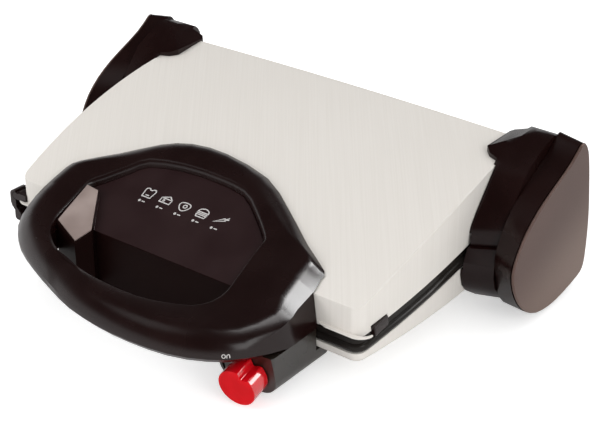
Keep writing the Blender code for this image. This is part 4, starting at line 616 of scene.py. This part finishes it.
def make_dial():
    """Ticks round the knob, on the box's front."""
    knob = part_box("knob")
    centre = Vector([(knob[0][i] + knob[1][i]) / 2 for i in range(3)])
    out = Vector(KNOB_OUT)
    right = Vector((-out.y, out.x, 0)).normalized()
    place = projector("control_box", centre, -out, right, out.cross(right), DIAL_NEAR)
    ticks = []
    for degrees in DIAL_TICKS:
        turn = math.radians(degrees)
        ticks.append(([(reach * math.cos(turn), reach * math.sin(turn)) for reach in DIAL_REACH], False))
    draw_lines("dial_tick_print", ticks, TICK_LINE, "base", place)


make_guide()
make_legend()
make_dial()


# Lid's lip and seal
def lip_row(place, outward, reach, low, thick):
    """Four points across the lip."""
    inner = place - outward * LIP_BITE
    outer = place + outward * reach
    return [(*inner, low), (*outer, low), (*outer, low + thick), (*inner, low + thick)]


def make_lip(name, side, start, rise, thick, reach, material):
    """Rolled edge or seal along the lid's skirt beside the handle, dying away round the corner."""
    (left, front, low), (right, _, _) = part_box("lid_cover")
    low += rise
    edge = right - LID_CORNER if side > 0 else left + LID_CORNER
    centre = Vector((edge, front + LID_CORNER))
    rows = []
    for i in range(LIP_STEPS + 1):
        x = start + (edge - start) * i / LIP_STEPS
        share = LIP_START_SHARE if i == 0 else 1
        rows.append(lip_row(Vector((x, front)), Vector((0, -1)), reach * share, low, thick))
    for i in range(1, CORNER_STEPS + 1):
        turn = math.radians(CORNER_STEP_ANGLE * i)
        outward = Vector((side * math.sin(turn), -math.cos(turn)))
        share = 1 - CORNER_LOSS * i / CORNER_STEPS
        rows.append(lip_row(centre + outward * LID_CORNER, outward, reach * share, low, thick))
    if side < 0:
        rows.reverse()
    vertices = [point for row in rows for point in row]
    faces = []
    for i in range(len(rows) - 1):
        for j in range(4):
            a, b = 4 * i + j, 4 * i + (j + 1) % 4
            faces.append((a, b, b + 4, a + 4))
    faces += [(3, 2, 1, 0), tuple(len(vertices) - 4 + j for j in range(4))]
    item = mesh_piece(name, vertices, faces, "lid", MADE[material])
    soften(item, LIP_EDGE, 2)


for end, side, start in LIP_STARTS:
    make_lip("lip_" + end, side, start, LIP_RISE, LIP_THICK, LIP_REACH, "brushed_silver")
    make_lip("seal_" + end, side, start, SEAL_RISE, LIP_RISE - SEAL_RISE, SEAL_REACH, "rubber_black")


# Room
def ray_kinds(tree):
    """One for rays straight from the camera or through a clear piece, and one for these and reflections."""
    path = tree.nodes.new("ShaderNodeLightPath")
    direct = calculated(tree, "MAXIMUM", path.outputs["Is Camera Ray"], path.outputs["Is Transmission Ray"])
    return direct, calculated(tree, "MAXIMUM", direct, path.outputs["Is Glossy Ray"])


def floor_material():
    """Pale floor, drawn white where it is lit, and darker in the object's shadow."""
    made = bpy.data.materials.new("floor_white")
    made.use_nodes = True
    tree = made.node_tree
    tree.nodes.clear()
    output = tree.nodes.new("ShaderNodeOutputMaterial")
    diffuse = tree.nodes.new("ShaderNodeBsdfDiffuse")
    diffuse.inputs["Color"].default_value = FLOOR_GREY
    lift = tree.nodes.new("ShaderNodeEmission")
    both = tree.nodes.new("ShaderNodeAddShader")
    direct, seen = ray_kinds(tree)
    base = calculated(tree, "MULTIPLY", seen, FLOOR_BASE_LIFT)
    tree.links.new(calculated(tree, "MULTIPLY_ADD", direct, FLOOR_LIFT, base), lift.inputs["Strength"])
    tree.links.new(diffuse.outputs[0], both.inputs[0])
    tree.links.new(lift.outputs[0], both.inputs[1])
    tree.links.new(both.outputs[0], output.inputs["Surface"])
    return made


def make_floor():
    reach = FLOOR_REACH
    corners = [(-reach, -reach, 0), (reach, -reach, 0), (reach, reach, 0), (-reach, reach, 0)]
    mesh = bpy.data.meshes.new("floor")
    mesh.from_pydata(corners, [], [(0, 1, 2, 3)])
    mesh.materials.append(floor_material())
    floor = bpy.data.objects.new("floor", mesh)
    floor.location.z = -FLOOR_DROP
    bpy.context.scene.collection.objects.link(floor)


def make_world():
    """Plain soft light, white to the camera, and a dark ceiling in reflections."""
    world = bpy.data.worlds.new("studio")
    bpy.context.scene.world = world
    world.use_nodes = True
    tree = world.node_tree
    tree.nodes.clear()
    output = tree.nodes.new("ShaderNodeOutputWorld")
    soft = tree.nodes.new("ShaderNodeBackground")
    soft.inputs["Color"].default_value = (1, 1, 1, 1)
    soft.inputs["Strength"].default_value = WORLD_LEVEL
    white = tree.nodes.new("ShaderNodeBackground")
    white.inputs["Color"].default_value = (1, 1, 1, 1)
    mix = tree.nodes.new("ShaderNodeMixShader")
    coords = tree.nodes.new("ShaderNodeTexCoord")
    direct, seen = ray_kinds(tree)
    height = part_of(tree, coords.outputs["Generated"], "Z")
    ceiling = spread(tree, height, HORIZON_LEVEL, CEILING_LEVEL, HORIZON_END, CEILING_START)
    tree.links.new(calculated(tree, "MAXIMUM", ceiling, direct), white.inputs["Strength"])
    tree.links.new(seen, mix.inputs["Fac"])
    tree.links.new(soft.outputs[0], mix.inputs[1])
    tree.links.new(white.outputs[0], mix.inputs[2])
    tree.links.new(mix.outputs[0], output.inputs["Surface"])


def softbox(name, direction, distance, width, height, power):
    toward = Vector(direction).normalized()
    lamp = bpy.data.lights.new(name, "AREA")
    lamp.shape = "RECTANGLE"
    lamp.size = width
    lamp.size_y = height
    lamp.energy = power
    item = bpy.data.objects.new(name, lamp)
    item.location = LAMPS_AIM + toward * distance
    item.rotation_mode = "QUATERNION"
    item.rotation_quaternion = (-toward).to_track_quat("-Z", "Y")
    bpy.context.scene.collection.objects.link(item)
    return item


def make_lights():
    """Two soft lamps, then four weak ones that only show as sheen."""
    softbox("front", (-0.55, -0.78, 0.50), 1.8, 1.0, 0.8, 8.0).visible_glossy = False
    softbox("right", (0.84, -0.30, 0.45), 1.8, 0.8, 0.8, 7.6)
    softbox("rim", (0.72, 0.60, 0.33), 1.4, 0.6, 0.6, 10.0).visible_diffuse = False
    softbox("bead", (0.50, 0.62, 0.57), 1.4, 0.3, 0.3, 2.5).visible_diffuse = False
    softbox("over", (0.13, 0.30, 0.945), 3.0, 0.9, 1.1, 22.0).visible_diffuse = False
    softbox("left", (-0.45, -0.30, 0.85), 3.0, 1.2, 1.2, 4.0).visible_diffuse = False


def make_camera():
    flat = math.cos(ELEVATION)
    view = Vector((-math.sin(AZIMUTH) * flat, math.cos(AZIMUTH) * flat, -math.sin(ELEVATION)))
    right = Vector((math.cos(AZIMUTH), math.sin(AZIMUTH), 0))
    matrix = Matrix((right, right.cross(view), -view)).transposed().to_4x4()
    matrix.translation = CAMERA_AT
    lens = bpy.data.cameras.new("camera")
    lens.lens = CAMERA_LENS
    lens.sensor_width = CAMERA_SENSOR
    lens.clip_start = CAMERA_NEAR
    lens.clip_end = CAMERA_FAR
    camera = bpy.data.objects.new("camera", lens)
    camera.matrix_world = matrix
    bpy.context.scene.collection.objects.link(camera)
    bpy.context.scene.camera = camera


make_camera()
make_world()
make_floor()
make_lights()

bpy.context.scene.view_settings.view_transform = "Standard"
